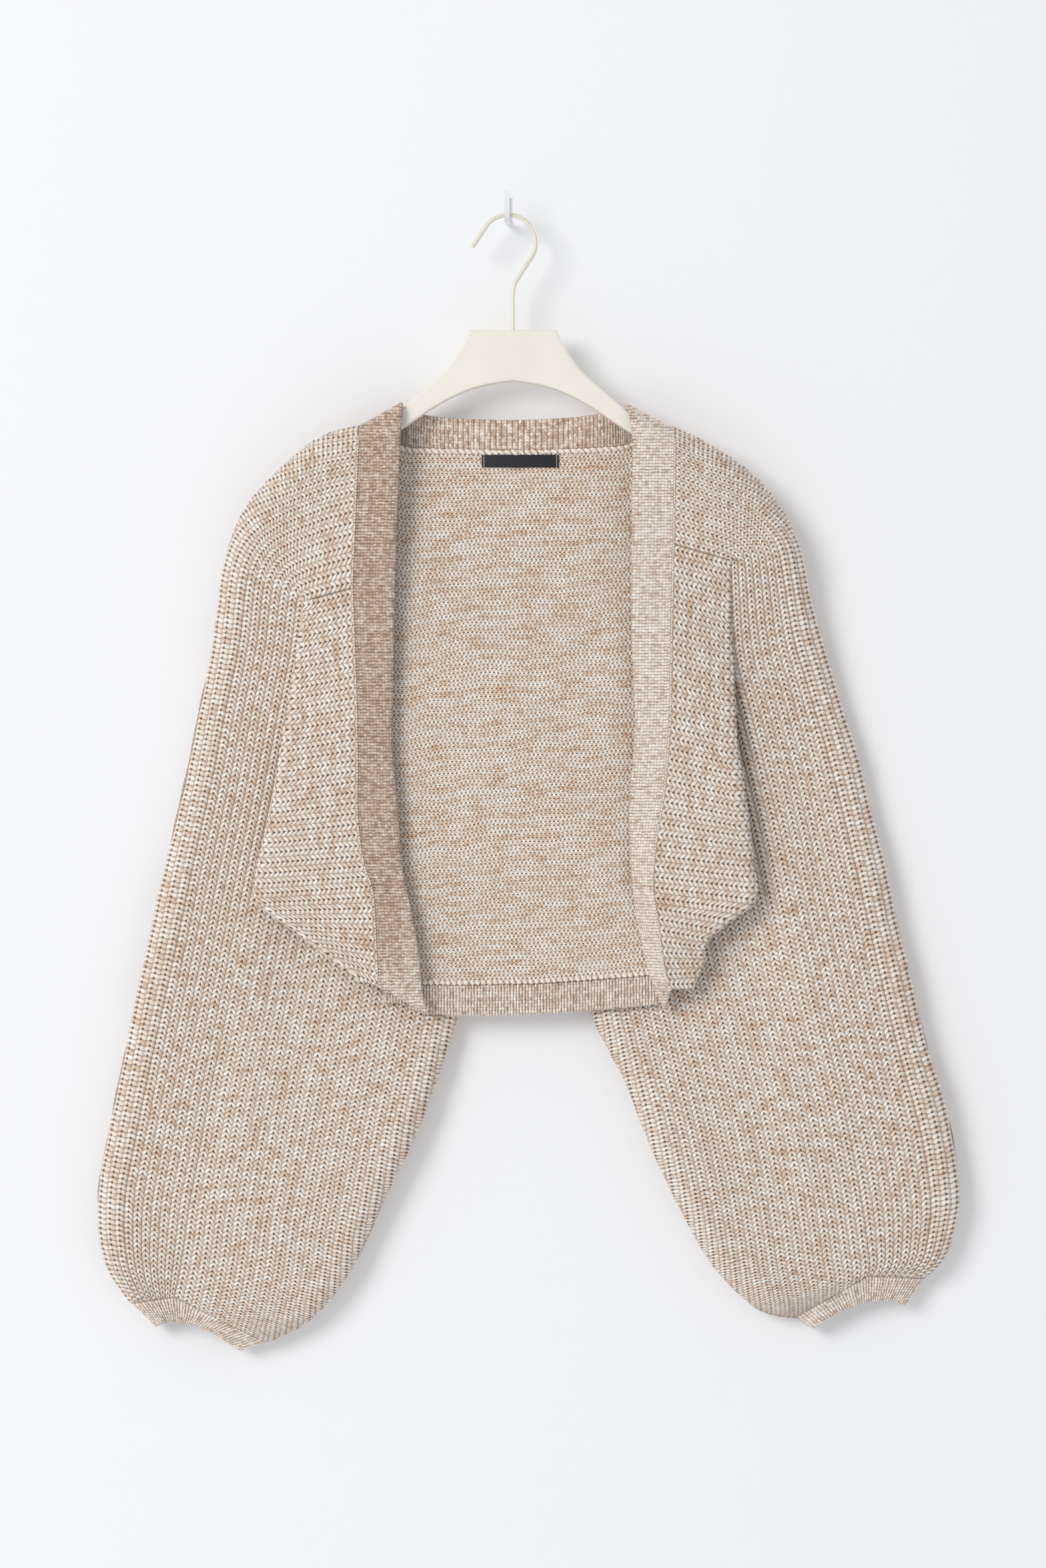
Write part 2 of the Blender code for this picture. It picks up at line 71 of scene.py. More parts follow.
# Soft creases. Columns: start x, z, end x, z, half width, height towards the viewer (a trough is below 0).
CREASES = (
    (-206, -330, -262, -560, 11, -1.3),
    (-232, -420, -278, -640, 9, 0.9),
    (-176, -560, -196, -760, 13, 1.2),
    (-205, -610, -236, -800, 10, -1.1),
    (-120, -640, -158, -770, 9, -1.0),
    (212, -350, 258, -590, 10, -1.2),
    (236, -470, 282, -660, 9, 1.0),
    (176, -590, 214, -780, 12, -1.2),
    (206, -640, 246, -800, 10, 1.0),
    (128, -640, 170, -780, 9, 0.9),
    (-104, -210, -58, -380, 13, 0.8),
    (118, -215, 70, -400, 14, 0.8),
    (-30, -420, 40, -560, 15, -0.8),
)
# How far the ribs of each front climb from the fold to the band
RIB_CLIMB = {"left": 9.0, "right": 12.0}
# Small uneven swells of hand-hung knit. Columns: wavelength, height, direction, lag.
SWELLS = (
    (140, 0.55, 0.3, 1.1),
    (83, 0.4, 1.9, 0.4),
    (57, 0.25, 2.7, 2.0),
    (31, 0.14, 0.9, 4.1),
    (23, 0.1, 2.2, 5.3),
)

# Outlines of the shoulder, a row for each step out along it. Columns: outer x, z, inner x, z.
SHOULDER = {
    "left": (
        (-110, -167, -115, -298),
        (-138, -175, -127, -298),
        (-160, -191, -137, -298),
        (-182, -212, -144, -298),
        (-199, -236, -148, -298),
    ),
    "right": (
        (125, -169, 124, -268),
        (148, -180, 136, -268),
        (170, -194, 148, -268),
        (191, -211, 158, -268),
        (208, -235, 164, -268),
    ),
}
# Columns: y of the front wall, y of the seam, y of the rear wall.
SHOULDER_DEPTHS = (
    (-43, -27, -14),
    (-43, -26, -13),
    (-43, -25, -11),
    (-42, -23, -9),
    (-41, -21, -8),
)
# Outlines of the sleeve, down to the cuff. Columns: outer x, z, rib x, z, underarm x, z.
SLEEVE = {
    "left": (
        (-212, -272, -150, -298, -149, -299),
        (-219, -325, -156, -338, -141, -341),
        (-230, -375, -166, -388, -112, -399),
        (-240, -425, -176, -440, -76, -461),
        (-252, -478, -187, -493, -49, -525),
        (-265, -541, -200, -556, -36, -590),
        (-278, -600, -212, -616, -52, -651),
        (-289, -649, -222, -664, -71, -699),
        (-299, -698, -231, -713, -93, -745),
        (-306, -735, -238, -750, -108, -779),
        (-306, -768, -242, -780, -123, -807),
        (-299, -799, -246, -803, -148, -835),
        (-283, -825, -250, -820, -181, -854),
    ),
    "right": (
        (219, -262, 167, -268, 166, -269),
        (233, -319, 171, -335, 156, -339),
        (246, -360, 182, -378, 131, -393),
        (262, -412, 196, -432, 100, -460),
        (276, -466, 209, -488, 76, -532),
        (291, -530, 223, -552, 62, -596),
        (304, -588, 236, -610, 88, -653),
        (316, -635, 248, -658, 105, -697),
        (332, -690, 260, -714, 127, -745),
        (339, -737, 267, -755, 146, -781),
        (337, -762, 270, -778, 163, -805),
        (329, -790, 272, -795, 190, -829),
        (314, -806, 270, -804, 218, -835),
    ),
}
# Columns: y of the front wall at that rib, y of the front wall inside it, y of both seams, y of
# the rear wall.
SLEEVE_DEPTHS = (
    (-40, -40, -19, -7),
    (-31, -22, -14, -6),
    (-27, -17.5, -12, -6),
    (-26, -17.5, -12, -6),
    (-27, -17.5, -12, -6),
    (-28, -19, -13, -6),
    (-29, -26, -15, -6),
    (-30, -29, -16, -6),
    (-30, -30, -16, -6),
    (-29, -29, -16, -6),
    (-28, -28, -16, -6),
    (-26, -26, -15, -6),
    (-22, -22, -14, -7),
)
# The rear layer's inner edge on the first two rows, where it passes behind the back.
REAR_UNDERARM = {"left": ((-127, -298), (-114, -346)), "right": ((136, -268), (129, -345))}

# Columns: seam x, z, fold edge x, z, y at the seam, y at the fold, radius of the fold, width turned under.
FLAP = {
    "left": (
        (-115, -298, -150, -298, -43, -40, 0.3, 0.3),
        (-114, -322, -153, -322, -44, -43, 3.2, 5),
        (-112, -374, -161, -374, -45, -45, 4.6, 12),
        (-111, -425, -170, -425, -46, -46, 5.2, 20),
        (-111, -465, -177, -463, -47, -47, 5.6, 24),
        (-107, -500, -185, -496, -47, -46, 5.6, 24),
        (-100, -522, -188, -518, -48, -44, 5.0, 20),
        (-98, -541, -174, -533, -48, -43, 4.6, 16),
        (-97, -562, -149, -550, -47, -43, 4.2, 13),
        (-96, -577, -126, -567, -46, -43, 3.8, 10),
        (-96, -586, -106, -583, -45, -43, 3.4, 7),
    ),
    "right": (
        (124, -268, 167, -268, -43, -40, 0.3, 0.3),
        (123, -297, 165, -297, -45, -44, 3.4, 6),
        (122, -340, 167, -340, -47, -47, 5.0, 14),
        (121, -398, 170, -398, -48, -48, 5.6, 20),
        (117, -449, 176, -449, -49, -49, 6.0, 24),
        (110, -494, 182, -490, -50, -50, 6.2, 24),
        (108, -524, 183, -520, -50, -48, 5.6, 20),
        (111, -543, 162, -538, -50, -46, 4.8, 15),
        (113, -556, 148, -552, -50, -45, 4.4, 12),
        (116, -572, 145, -569, -49, -43, 4.2, 11),
        (121, -588, 138, -588, -47, -42, 3.6, 8),
    ),
}

# The back from the underarm rib down. Columns: left x, z, y, right x, z, y, y of the middle.
BACK_LOW = (
    (-127, -298, -20, 136, -268, -20, -20),
    (-127, -333, -24, 140, -305, -22, -24),
    (-137, -385, -28, 146, -365, -28, -27),
    (-154, -435, -29, 154, -420, -29, -28),
    (-168, -485, -29, 163, -470, -30, -29),
    (-171, -512, -29, 165, -508, -30, -29),
    (-157, -532, -29, 152, -530, -30, -29),
    (-136, -550, -29, 140, -548, -30, -29),
    (-120, -566, -29, 136, -562, -30, -29),
    (-113, -580, -29, 132, -576, -29, -29),
)
SEAM_X = {"left": -110, "right": 125}
APEX_Z = {"left": -298, "right": -268}
# Columns: x, z of the neck or shoulder seam, y there.
BACK_TOP = (
    (-110, -167, -20),
    (-93, -177, -17),
    (-76, -185, -15),
    (-40, -186, -16),
    (0, -187, -17),
    (45, -186, -16),
    (90, -184, -15),
    (107, -177, -17),
    (125, -169, -20),
)
APEX_MIDDLE_Y = -20

# Inner edge of each front band, from the shoulder down. Columns: x, z, y.
BAND_INNER = {
    "left": (
        (-78, -150, -28),
        (-78, -153, -40),
        (-80, -176, -44),
        (-82, -227, -45),
        (-84, -278, -45),
        (-85, -338, -46),
        (-86, -400, -47),
        (-83, -440, -48),
        (-78, -498, -48),
        (-73, -524, -49),
        (-66, -562, -48),
        (-63, -592, -47),
        (-58, -607, -45),
    ),
    "right": (
        (89, -151, -28),
        (90, -154, -40),
        (94, -178, -44),
        (94, -225, -45),
        (94, -276, -46),
        (94, -328, -47),
        (96, -392, -48),
        (92, -443, -47),
        (93, -494, -43),
        (96, -528, -39),
        (101, -552, -37),
        (108, -580, -36),
        (117, -604, -36),
    ),
}

# Columns: x, top z, top y, seam z, seam y.
NECK_BAND = (
    (-101, -157, -20, -171, -19),
    (-86, -152, -18, -180, -16),
    (-74, -155, -17, -185, -15),
    (-47, -159, -15, -186, -16),
    (0, -161, -15, -187, -17),
    (50, -159, -15, -186, -16),
    (82, -154, -17, -184, -15),
    (98, -153, -18, -180, -16),
    (115, -158, -20, -172, -19),
)
HEM_BAND_ENDS = (-92, 122)

# Columns: outer x, z, middle x, z, inner x, z, y of the front wall, y of the edges, y of the rear wall.
CUFF_END = {
    "left": (-264, -843, -238, -841, -201, -861, -20, -14, -8.5),
    "right": (299, -827, 268, -825, 230, -845, -20, -14, -8.5),
}


# ---- Surfaces -------------------------------------------------------------------------------------


def row_at(table, places):
    """Rows of a table at fractional places, on a smooth curve through them."""
    rows = np.array(table, float)
    last = len(rows) - 1
    start = np.clip(np.floor(places).astype(int), 0, last - 1)
    part = (places - start)[..., None]
    before, low, high, after = (rows[np.clip(start + k, 0, last)] for k in (-1, 0, 1, 2))
    return 0.5 * (
        2 * low
        + (high - before) * part
        + (2 * before - 5 * low + 4 * high - after) * part**2
        + (3 * low - before - 3 * high + after) * part**3
    )


def columns_at(table, places):
    """The same rows, as one array for each column."""
    return np.moveaxis(row_at(table, places), -1, 0)


def length_along(line):
    """Length of a line of points up to each of them."""
    return np.concatenate([[0], np.cumsum(np.linalg.norm(np.diff(line, axis=0), axis=1))])


def eased(part):
    """0 to 1 with a soft start and a soft end."""
    part = np.clip(part, 0, 1)
    return part * part * (3 - 2 * part)


def roundness(distance, reach):
    """How far a wall has swung from its seam to its full depth: a quarter of an ellipse."""
    part = np.clip(distance / reach, 0, 1)
    return np.sqrt(1 - (1 - part) ** 2)


def mix(low, high, part):
    return low + (high - low) * part


def points(x, y, z):
    return np.stack(np.broadcast_arrays(x, y, z), -1)


def upper_surface(side, front):
    """The shoulder and the outer part of the sleeve: t runs from the band to the cuff, p from the
    over-arm seam in to the rib that reaches the underarm."""
    rows = [[*edges, *depths] for edges, depths in zip(SHOULDER[side], SHOULDER_DEPTHS)]
    for edges, (rib_y, _, seam_y, rear_y) in zip(SLEEVE[side], SLEEVE_DEPTHS):
        rows.append([*edges[:4], rib_y, seam_y, rear_y])
    if not front:
        rows[0][2] = SEAM_X[side]
    lean = -1 if front else 1

    def place(t, p):
        ox, oz, ix, iz, front_y, seam_y, rear_y = columns_at(rows, t)
        apex_x = rows[UNDERARM][2]
        climb = RIB_CLIMB[side] * (ix - apex_x) / (rows[0][2] - apex_x)
        iz = np.where(t < UNDERARM, APEX_Z[side] + climb * front, iz)
        # the ribs between climb more steeply towards the band
        p = p - 0.1 * np.sin(math.pi * p) * np.clip(1 - t / UNDERARM, 0, 1) * front
        edge = seam_y + lean * SEAM_GAP / 2
        full = front_y if front else rear_y
        width = np.hypot(ix - ox, iz - oz)
        y = mix(edge, full, roundness(p * width, 17))
        if not front:
            # behind, the shoulder comes smoothly off the plane of the back
            y = mix(y, APEX_MIDDLE_Y, eased(1 - t / 3) * eased(p / 0.2))
        return points(mix(ox, ix, p), y, mix(oz, iz, p))

    return place


def panel_surface(side, front):
    """Shoulder and sleeve in one: p runs 0 to 1 across the outer part and 1 to 2 on to the underarm."""
    upper = upper_surface(side, front)
    under = underarm_surface(side, front)

    def place(t, p):
        outer = upper(t, np.clip(p, 0, 1))
        inner = under(np.clip(t - UNDERARM, 0, SLEEVE_END - UNDERARM), np.clip(p - 1, 0, 1))
        inner = np.where((t < UNDERARM)[..., None], upper(t, 1 + 0 * p), inner)
        return np.where((p <= 1)[..., None], outer, inner)

    return place


def underarm_surface(side, front):
    """The sleeve inside that rib: t runs from the underarm to the cuff, q from the rib to the seam."""
    rows = [[*edges, *depths] for edges, depths in zip(SLEEVE[side], SLEEVE_DEPTHS)]
    if not front:
        for row, (x, z) in zip(rows, REAR_UNDERARM[side]):
            row[4], row[5] = x, z
    lean = -1 if front else 1

    def place(t, q):
        _, _, rx, rz, ax, az, rib_y, inner_y, seam_y, rear_y = columns_at(rows, t)
        edge = seam_y + lean * SEAM_GAP / 2
        depth = mix(rib_y, inner_y, eased(q / 0.3)) if front else rear_y
        width = np.hypot(ax - rx, az - rz)
        swing = roundness((1 - q) * width, np.maximum(np.minimum(15, width / 2), 0.5))
        return points(mix(rx, ax, q), mix(edge, depth, swing), mix(rz, az, q))

    return place


def flap_surface(side):
    """The front below the underarm: r runs down the ribs, c from the band seam round the fold."""
    outward = -1 if side == "left" else 1
    upper = upper_surface(side, True)
    shoulder_part, sleeve_part = np.linspace(0, UNDERARM, 60), np.linspace(UNDERARM, SLEEVE_END, 60)
    rib = upper(shoulder_part, np.ones(60))
    sleeve = upper(sleeve_part, np.ones(60))
    order = np.argsort(rib[:, 0])

    def place(r, c):
        sx, sz, fx, fz, sy, fy, radius, under = columns_at(FLAP[side], r)
        sz = sz + RIB_CLIMB[side] * np.clip(np.abs(fx - sx) / 30, 0, 1) * eased((10 - r) / 3)
        # the fold grows out of the sleeve softly
        fy = mix(np.interp(-fz, -sleeve[:, 2], sleeve[:, 1]), fy, eased(r / 3.5))
        radius = np.maximum(radius * eased(r / 3), 0.2)
        centre = fx - outward * radius
        flat = np.abs(centre - sx)
        along = c * (flat + math.pi * radius + np.maximum(under, 0.2))
        part = np.clip(along / flat, 0, 1)
        angle = np.clip((along - flat) / radius, 0, math.pi)
        turned = np.maximum(along - flat - math.pi * radius, 0)
        x = mix(sx, centre, part) + outward * (radius * np.sin(angle) - turned)
        rib_y = np.interp(x, rib[order, 0], rib[order, 1])
        flat_y = mix(mix(sy, fy, part), rib_y, 1 - eased(r / 2.5))
        y = flat_y + radius * (1 - np.cos(angle))
        z = mix(np.interp(x, rib[order, 0], rib[order, 2]), mix(sz, fz, part), eased(r / 1.2))
        return points(x, y, z)

    return place


def hem_sag(x):
    """How far the hem hangs below its straight line."""
    return np.interp(x, (-130, -90, -40, 20, 70, 118, 135), (2.0, 4.5, 6.5, 6.5, 4.0, 1.0, 0.0))


def back_top(x):
    """The z and y of the back's top edge."""
    edge_x, edge_z, edge_y = zip(*BACK_TOP)
    return np.interp(x, edge_x, edge_z), np.interp(x, edge_x, edge_y)


def back_upper_surface(r, c):
    """The back between the shoulders: r runs down the ribs, c across from left to right."""
    x = mix(SEAM_X["left"], SEAM_X["right"], c)
    top_z, top_y = back_top(x)
    low_z = mix(APEX_Z["left"], APEX_Z["right"], c)
    return points(x, mix(top_y, APEX_MIDDLE_Y, r), mix(top_z, low_z, r))


def back_lower_surface(r, c):
    """The back from the underarm to the hem, with the part that passes behind the fronts' folds."""
    lx, lz, ly, rx, rz, ry, my = columns_at(BACK_LOW, r)
    x = mix(lx, rx, c)
    width = SEAM_X["right"] - SEAM_X["left"]
    across = (x - SEAM_X["left"]) / width
    outside = np.maximum(-across, across - 1) * width
    y = mix(my, np.where(across < 0.5, ly, ry), eased(outside / 40))
    return points(x, y, mix(lz, rz, np.clip(across, 0, 1)) - hem_sag(x) * eased((r - 5) / 4))


def back_inside_surface(r, c):
    """The reverse of the back, where it shows: r runs down, c across. The ribs droop a little towards
    the left, where the shoulder's weight pulls them."""
    x = mix(SEAM_X["left"], SEAM_X["right"], c)
    top_z, top_y = back_top(x)
    low_z = mix(BACK_LOW[-1][1], BACK_LOW[-1][4], c) - hem_sag(x)
    inner = np.sin(math.pi * np.clip(r, 0, 1))
    droop = -15 * np.clip((30 - x) / 125, 0, 1) ** 2 * inner**0.6
    wander = 0.9 * np.sin(x / 17 + 9 * r) + 0.7 * np.sin(x / 9.5 - 23 * r) + 0.5 * np.sin(x / 5.3 + 41 * r)
    z = mix(top_z + 3, low_z, r) + droop + inner * wander
    heights = (-578, -478, -427, -375, -319, -283, -187)
    depths = (-29, -29, -28, -27, -24, -20, -17)
    y = np.interp(z, heights, depths) + (top_y + 17) * np.clip((z + 283) / 96, 0, 1)
    return points(x, y - 0.7, z)


# ---- Knit shells ----------------------------------------------------------------------------------


def plait(u, v):
    """Height of the two slanted legs of each stitch, 0 to 1."""
    s = np.abs(u - np.floor(u) - 0.5)
    b = v + LEG_SLANT * s
    b = b - np.floor(b)
    leg = np.clip(1 - ((s - LEG_MIDDLE) / LEG_HALF) ** 2, 0, 1)
    along = 1 - np.abs(2 * b - 1) ** 2.5
    return np.sqrt(leg) * (0.3 + 0.7 * along)


def crest(u):
    """Round profile of a wale, 0 in the gap and 1 on its crest."""
    return np.sqrt(np.abs(np.cos(math.pi * (u - np.floor(u) - 0.5))))


def normals_of(spots, out):
    """Unit normals of a grid of points, on the side that out points to."""
    across = np.gradient(spots, axis=1)
    along = np.gradient(spots, axis=0)
    made = np.cross(across, along)
    made /= np.maximum(np.linalg.norm(made, axis=-1, keepdims=True), 1e-9)
    turned = np.sign(np.sum(made * np.array(out, float), -1).sum())
    return made * turned


class Patch:
    """One stretch of knit: a closed shell of a relief face, a plain face and a rim."""

    def __init__(
        self, place, rows, columns, out, wale, down=False, wall=WALL, stitch=BODY_STITCH, half=False
    ):
        """rows and columns are the parameters of the relief grid; wale gives the wale at each of its
        points. The stitches run across the rows, or down them where down is set. A half shell is one
        face of a cloth whose other face has its own relief."""
        self.spots = place(rows[:, None] + 0 * columns, columns + 0 * rows[:, None])
        self.normals = normals_of(self.spots, out)
        self.facing = -out[1]
        self.wale = wale
        self.inset = np.full(wale.shape, 20.0)  # wales from a fashioned edge
        self.sunk = np.ones(wale.shape)  # the relief dies away at a free edge
        self.sunk[[0, -1], :] = FREE_EDGE
        self.sunk[:, [0, -1]] = FREE_EDGE
        self.top = wall / 2 - 0.5
        self.below = 0.02 if half else -wall / 2
        axis = 0 if down else 1
        step = np.linalg.norm(np.diff(self.spots, axis=axis), axis=-1)
        start = np.zeros_like(np.take(step, [0], axis=axis))
        self.run = np.concatenate([start, np.cumsum(step, axis=axis)], axis=axis) / stitch


def swell_of(spots):
    """How far the cloth swells towards the viewer, in millimetres."""
    x, z = spots[..., 0], spots[..., 2]
    made = np.zeros_like(x)
    for wave, height, turn, lag in SWELLS:
        made += height * np.sin(math.tau * (x * math.cos(turn) + z * math.sin(turn)) / wave + lag)
    for ax, az, bx, bz, width, height in CREASES:
        length = math.hypot(bx - ax, bz - az)
        along = ((x - ax) * (bx - ax) + (z - az) * (bz - az)) / length
        off = ((x - ax) * (bz - az) - (z - az) * (bx - ax)) / length
        off = off - 4 * np.sin(math.pi * along / length)
        fade = eased(along / (0.3 * length)) * eased((length - along) / (0.4 * length))
        made += height * fade * np.exp(-((off / width) ** 2))
    return made


def mesh_data(name, mesh):
    data = bpy.data.meshes.new(name)
    mesh.to_mesh(data)
    mesh.free()
    return data


def placed(name, data):
    """An object of these data, in the scene."""
    made = bpy.data.objects.new(name, data)
    bpy.context.scene.collection.objects.link(made)
    return made


def mesh_object(name, mesh, material, smooth_angle=80):
    """A mesh as an object, shaded smooth up to this angle."""
    data = mesh_data(name, mesh)
    data.shade_smooth()
    data.set_sharp_from_angle(angle=math.radians(smooth_angle))
    data.materials.append(material)
    return placed(name, data)


def unit_shell(name, columns, rows, coarse):
    """A box of two grids joined round their rims, with the relief grid on top and the plain one below."""
    mesh = bmesh.new()
    below = [max(2, round(count / coarse)) for count in (columns, rows)]
    for counts, level in (((columns, rows), 1), (below, -1)):
        pose = Matrix.Translation((0, 0, level))
        bmesh.ops.create_grid(mesh, x_segments=counts[0], y_segments=counts[1], size=0.5, matrix=pose)
    bmesh.ops.bridge_loops(mesh, edges=[edge for edge in mesh.edges if edge.is_boundary])
    bmesh.ops.recalc_face_normals(mesh, faces=mesh.faces)
    return mesh_data(name, mesh)


def sample(grid, i, j):
    """Values of a grid at fractional places down and across."""
    i0 = np.clip(np.floor(i).astype(int), 0, grid.shape[0] - 2)
    j0 = np.clip(np.floor(j).astype(int), 0, grid.shape[1] - 2)
    a = i - i0
    b = j - j0
    if grid.ndim == 3:
        a, b = a[:, None], b[:, None]
    top = mix(grid[i0, j0], grid[i0, j0 + 1], b)
    low = mix(grid[i0 + 1, j0], grid[i0 + 1, j0 + 1], b)
    return mix(top, low, a)


def stitch_on_middle(patch, wale, i, j, middle_i, middle_j):
    """The count of stitches on the middle line of each corner's own wale, so that no wale shears."""
    rows, columns = (count - 1 for count in patch.wale.shape)
    home = np.floor(sample(patch.wale, middle_i, middle_j)) + 0.5
    ahead_i, behind_i = np.minimum(middle_i + 0.5, rows), np.maximum(middle_i - 0.5, 0)
    ahead_j, behind_j = np.minimum(middle_j + 0.5, columns), np.maximum(middle_j - 0.5, 0)
    slope_i = sample(patch.wale, ahead_i, middle_j) - sample(patch.wale, behind_i, middle_j)
    slope_j = sample(patch.wale, middle_i, ahead_j) - sample(patch.wale, middle_i, behind_j)
    across = np.abs(slope_j).mean() > np.abs(slope_i).mean()
    slope = slope_j if across else slope_i
    step = (home - wale) / np.where(np.abs(slope) < 1e-6, 1, slope)
    if across:
        return sample(patch.run, i, np.clip(j + step, 0, columns))
    return sample(patch.run, np.clip(i + step, 0, rows), j)


def knit_piece(name, patches, relief, coarse, waves, material):
    """A piece of knit from its patches, in one mesh, with the knit UV map."""
    parts = []
    for number, patch in enumerate(patches):
        rows, columns = (count - 1 for count in patch.wale.shape)
        data = unit_shell(f"{name}_{number}", columns, rows, coarse)
        unit = np.empty(len(data.vertices) * 3)
        data.vertices.foreach_get("co", unit)
        unit = unit.reshape(-1, 3)
        j = (unit[:, 0] + 0.5) * columns
        i = (unit[:, 1] + 0.5) * rows
        top = unit[:, 2] > 0
        height = relief(patch.wale, patch.run)
        # the line where a fashioned edge meets the straight ribs
        height = (height - 0.5 * np.clip(1 - np.abs(patch.inset - 3) / 0.3, 0, 1)) * patch.sunk
        swell = swell_of(patch.spots) * waves * patch.facing
        raised = patch.spots + patch.normals * (patch.top + height + swell)[..., None]
        lower = patch.spots + patch.normals * (swell + patch.below)[..., None]
        spots = np.where(top[:, None], sample(raised, i, j), sample(lower, i, j)) * MM
        data.vertices.foreach_set("co", spots.ravel())

        corner = np.empty(len(data.loops), int)
        data.loops.foreach_get("vertex_index", corner)
        face_of = np.repeat(np.arange(len(data.polygons)), [len(p.vertices) for p in data.polygons])
        counts = np.bincount(face_of)
        middles = [(np.bincount(face_of, k[corner]) / counts)[face_of] for k in (i, j)]
        corner_i, corner_j = i[corner], j[corner]
        wale = sample(patch.wale, corner_i, corner_j)
        run = stitch_on_middle(patch, wale, corner_i, corner_j, *middles)
        inset = sample(patch.inset, corner_i, corner_j)
        for layer_name, values in (("knit", (wale, run)), ("edge", (inset, 0 * inset))):
            layer = data.uv_layers.new(name=layer_name)
            layer.data.foreach_set("uv", np.stack(values, -1).astype(np.float32).ravel())
        if face_direction(data, top, patch, i, j) < 0:
            data.flip_normals()
        parts.append(data)
    mesh = bmesh.new()
    for part in parts:
        mesh.from_mesh(part)
        bpy.data.meshes.remove(part)
    bmesh.ops.remove_doubles(mesh, verts=mesh.verts, dist=0.002 * MM)
    return mesh_object(name, mesh, material)


def face_direction(data, top, patch, i, j):
    """Above 0 where the relief faces look the way the patch's normals point."""
    total = 0.0
    faces = data.polygons
    step = max(1, len(faces) // 200)
    for number in range(0, len(faces), step):
        face = faces[number]
        if all(top[k] for k in face.vertices):
            k = face.vertices[0]
            total += float(np.dot(face.normal, sample(patch.normals, i[k : k + 1], j[k : k + 1])[0]))
    return total


def even_rows(place, span, column, spacing):
    """Parameters down a surface whose points along one column are this far apart, in millimetres."""
    dense = np.linspace(span[0], span[1], 600)
    run = length_along(place(dense, np.full_like(dense, column)))
    count = max(3, round(run[-1] / spacing))
    return np.interp(np.linspace(0, run[-1], count + 1), run, dense)


def wale_rows(place, span, column, samples, per_wale, wales=None):
    """Parameters down a surface whose ribs run across it, so many to a wale, and how many wales it takes."""
    dense = np.linspace(*span, samples)
    run = length_along(place(dense, np.full_like(dense, column)))
    wales = wales or round(run[-1] / BODY_WALE)
    return np.interp(np.linspace(0, run[-1], wales * per_wale + 1), run, dense), wales


def body_relief(u, v):
    """The half-cardigan's outside: high ribs of slanted legs."""
    return 1.1 * crest(u) + 0.8 * plait(u, v)


def inside_relief(u, v):
    """The reverse: a thin chain on each wale, and two rows of small purl bumps between."""
    f = u - np.floor(u)
    chain = eased((0.2 - np.abs(f - 0.5)) / 0.1)
    return 0.5 + 0.3 * crest(3 * u) + 0.2 * chain


def sleeve_wales(side):
    """How many wales run out along the over-arm seam before the sleeve starts."""
    outer_x, outer_z, rib_x, rib_z = SLEEVE[side][4][:4]
    return APEX_WALE - round(math.hypot(rib_x - outer_x, rib_z - outer_z) / SLEEVE_WALE)


def panel_patch(side, front, spacing, outer_per_wale, under_per_wale):
    """Shoulder and sleeve. Wales run out along the over-arm seam before the sleeve starts, and at the
    underarm seam where the sleeve narrows."""
    place = panel_surface(side, front)
    rows = even_rows(place, (0, SLEEVE_END), 0.5, spacing)
    lost = sleeve_wales(side)
    kept = APEX_WALE - lost
    ends = place(rows, 2 + 0 * rows) - place(rows, 1 + 0 * rows)
    width = np.linalg.norm(ends, axis=1)
    count = round(width.max() / SLEEVE_WALE)
    outer = np.linspace(0, 1, kept * outer_per_wale + 1)
    under = np.linspace(0, 1, count * under_per_wale + 1)[1:]
    gone = (lost * eased(rows / UNDERARM))[:, None]
    outer_wales = gone + outer * (APEX_WALE - gone)
    wale = np.concatenate([outer_wales, APEX_WALE + under * (width / SLEEVE_WALE)[:, None]], 1)
    across = np.concatenate([outer, 1 + under])
    out = (0, -1 if front else 1, 0)
    patch = Patch(place, rows, across, out, wale, down=True, stitch=SLEEVE_STITCH)
    not_yet = 6 * (1 - eased((rows - UNDERARM) / 1.5))[:, None]
    patch.inset = np.minimum(wale - gone, wale[:, -1:] - wale + not_yet)
    # above the underarm the inner part has no width
    shut = rows < UNDERARM + 0.02
    if not front:
        # behind, the shoulder runs on into the back
        patch.sunk[shut] = 1
        patch.sunk[:, 0] = FREE_EDGE
    patch.normals[shut, len(outer):] = patch.normals[shut, len(outer) - 2][:, None]
    patch.normals[shut, len(outer) - 1] = patch.normals[shut, len(outer) - 2]
    return patch


def flap_patch(side, per_wale):
    """The front below the underarm, round its fold."""
    place = flap_surface(side)
    rows, wales = wale_rows(place, (0, 10), 0.15, 400, per_wale)
    columns = np.linspace(0, 1, 76)
    wale = APEX_WALE + np.linspace(0, wales, len(rows))[:, None] + 0 * columns
    return Patch(place, rows, columns, (0, -1, 0), wale)


def inside_patch():
    """The reverse of the back."""
    rows, wales = wale_rows(back_inside_surface, (0, 1), 0.5, 300, 9)
    columns = np.linspace(0, 1, 147)
    wale = np.linspace(0, wales, len(rows))[:, None] + 0 * columns
    return Patch(back_inside_surface, rows, columns, (0, -1, 0), wale, stitch=REVERSE_STITCH, half=True)


def back_patches(per_wale, columns_count):
    """The outside of the back in an upper and a lower stretch, with ribs straight across."""
    columns = np.linspace(0, 1, columns_count + 1)
    made = []
    for place, span, start, known in (
        (back_upper_surface, (0, 1), 0, APEX_WALE),
        (back_lower_surface, (0, 9), APEX_WALE, None),
    ):
        rows, wales = wale_rows(place, span, 0.5, 300, per_wale, known)
        wale = start + np.linspace(0, wales, len(rows))[:, None] + 0 * columns
        patch = Patch(place, rows, columns, (0, 1, 0), wale, half=True)
        if known:
            patch.sunk[1:] = 1
        else:
            patch.sunk[0] = 1
        made.append(patch)
    return made


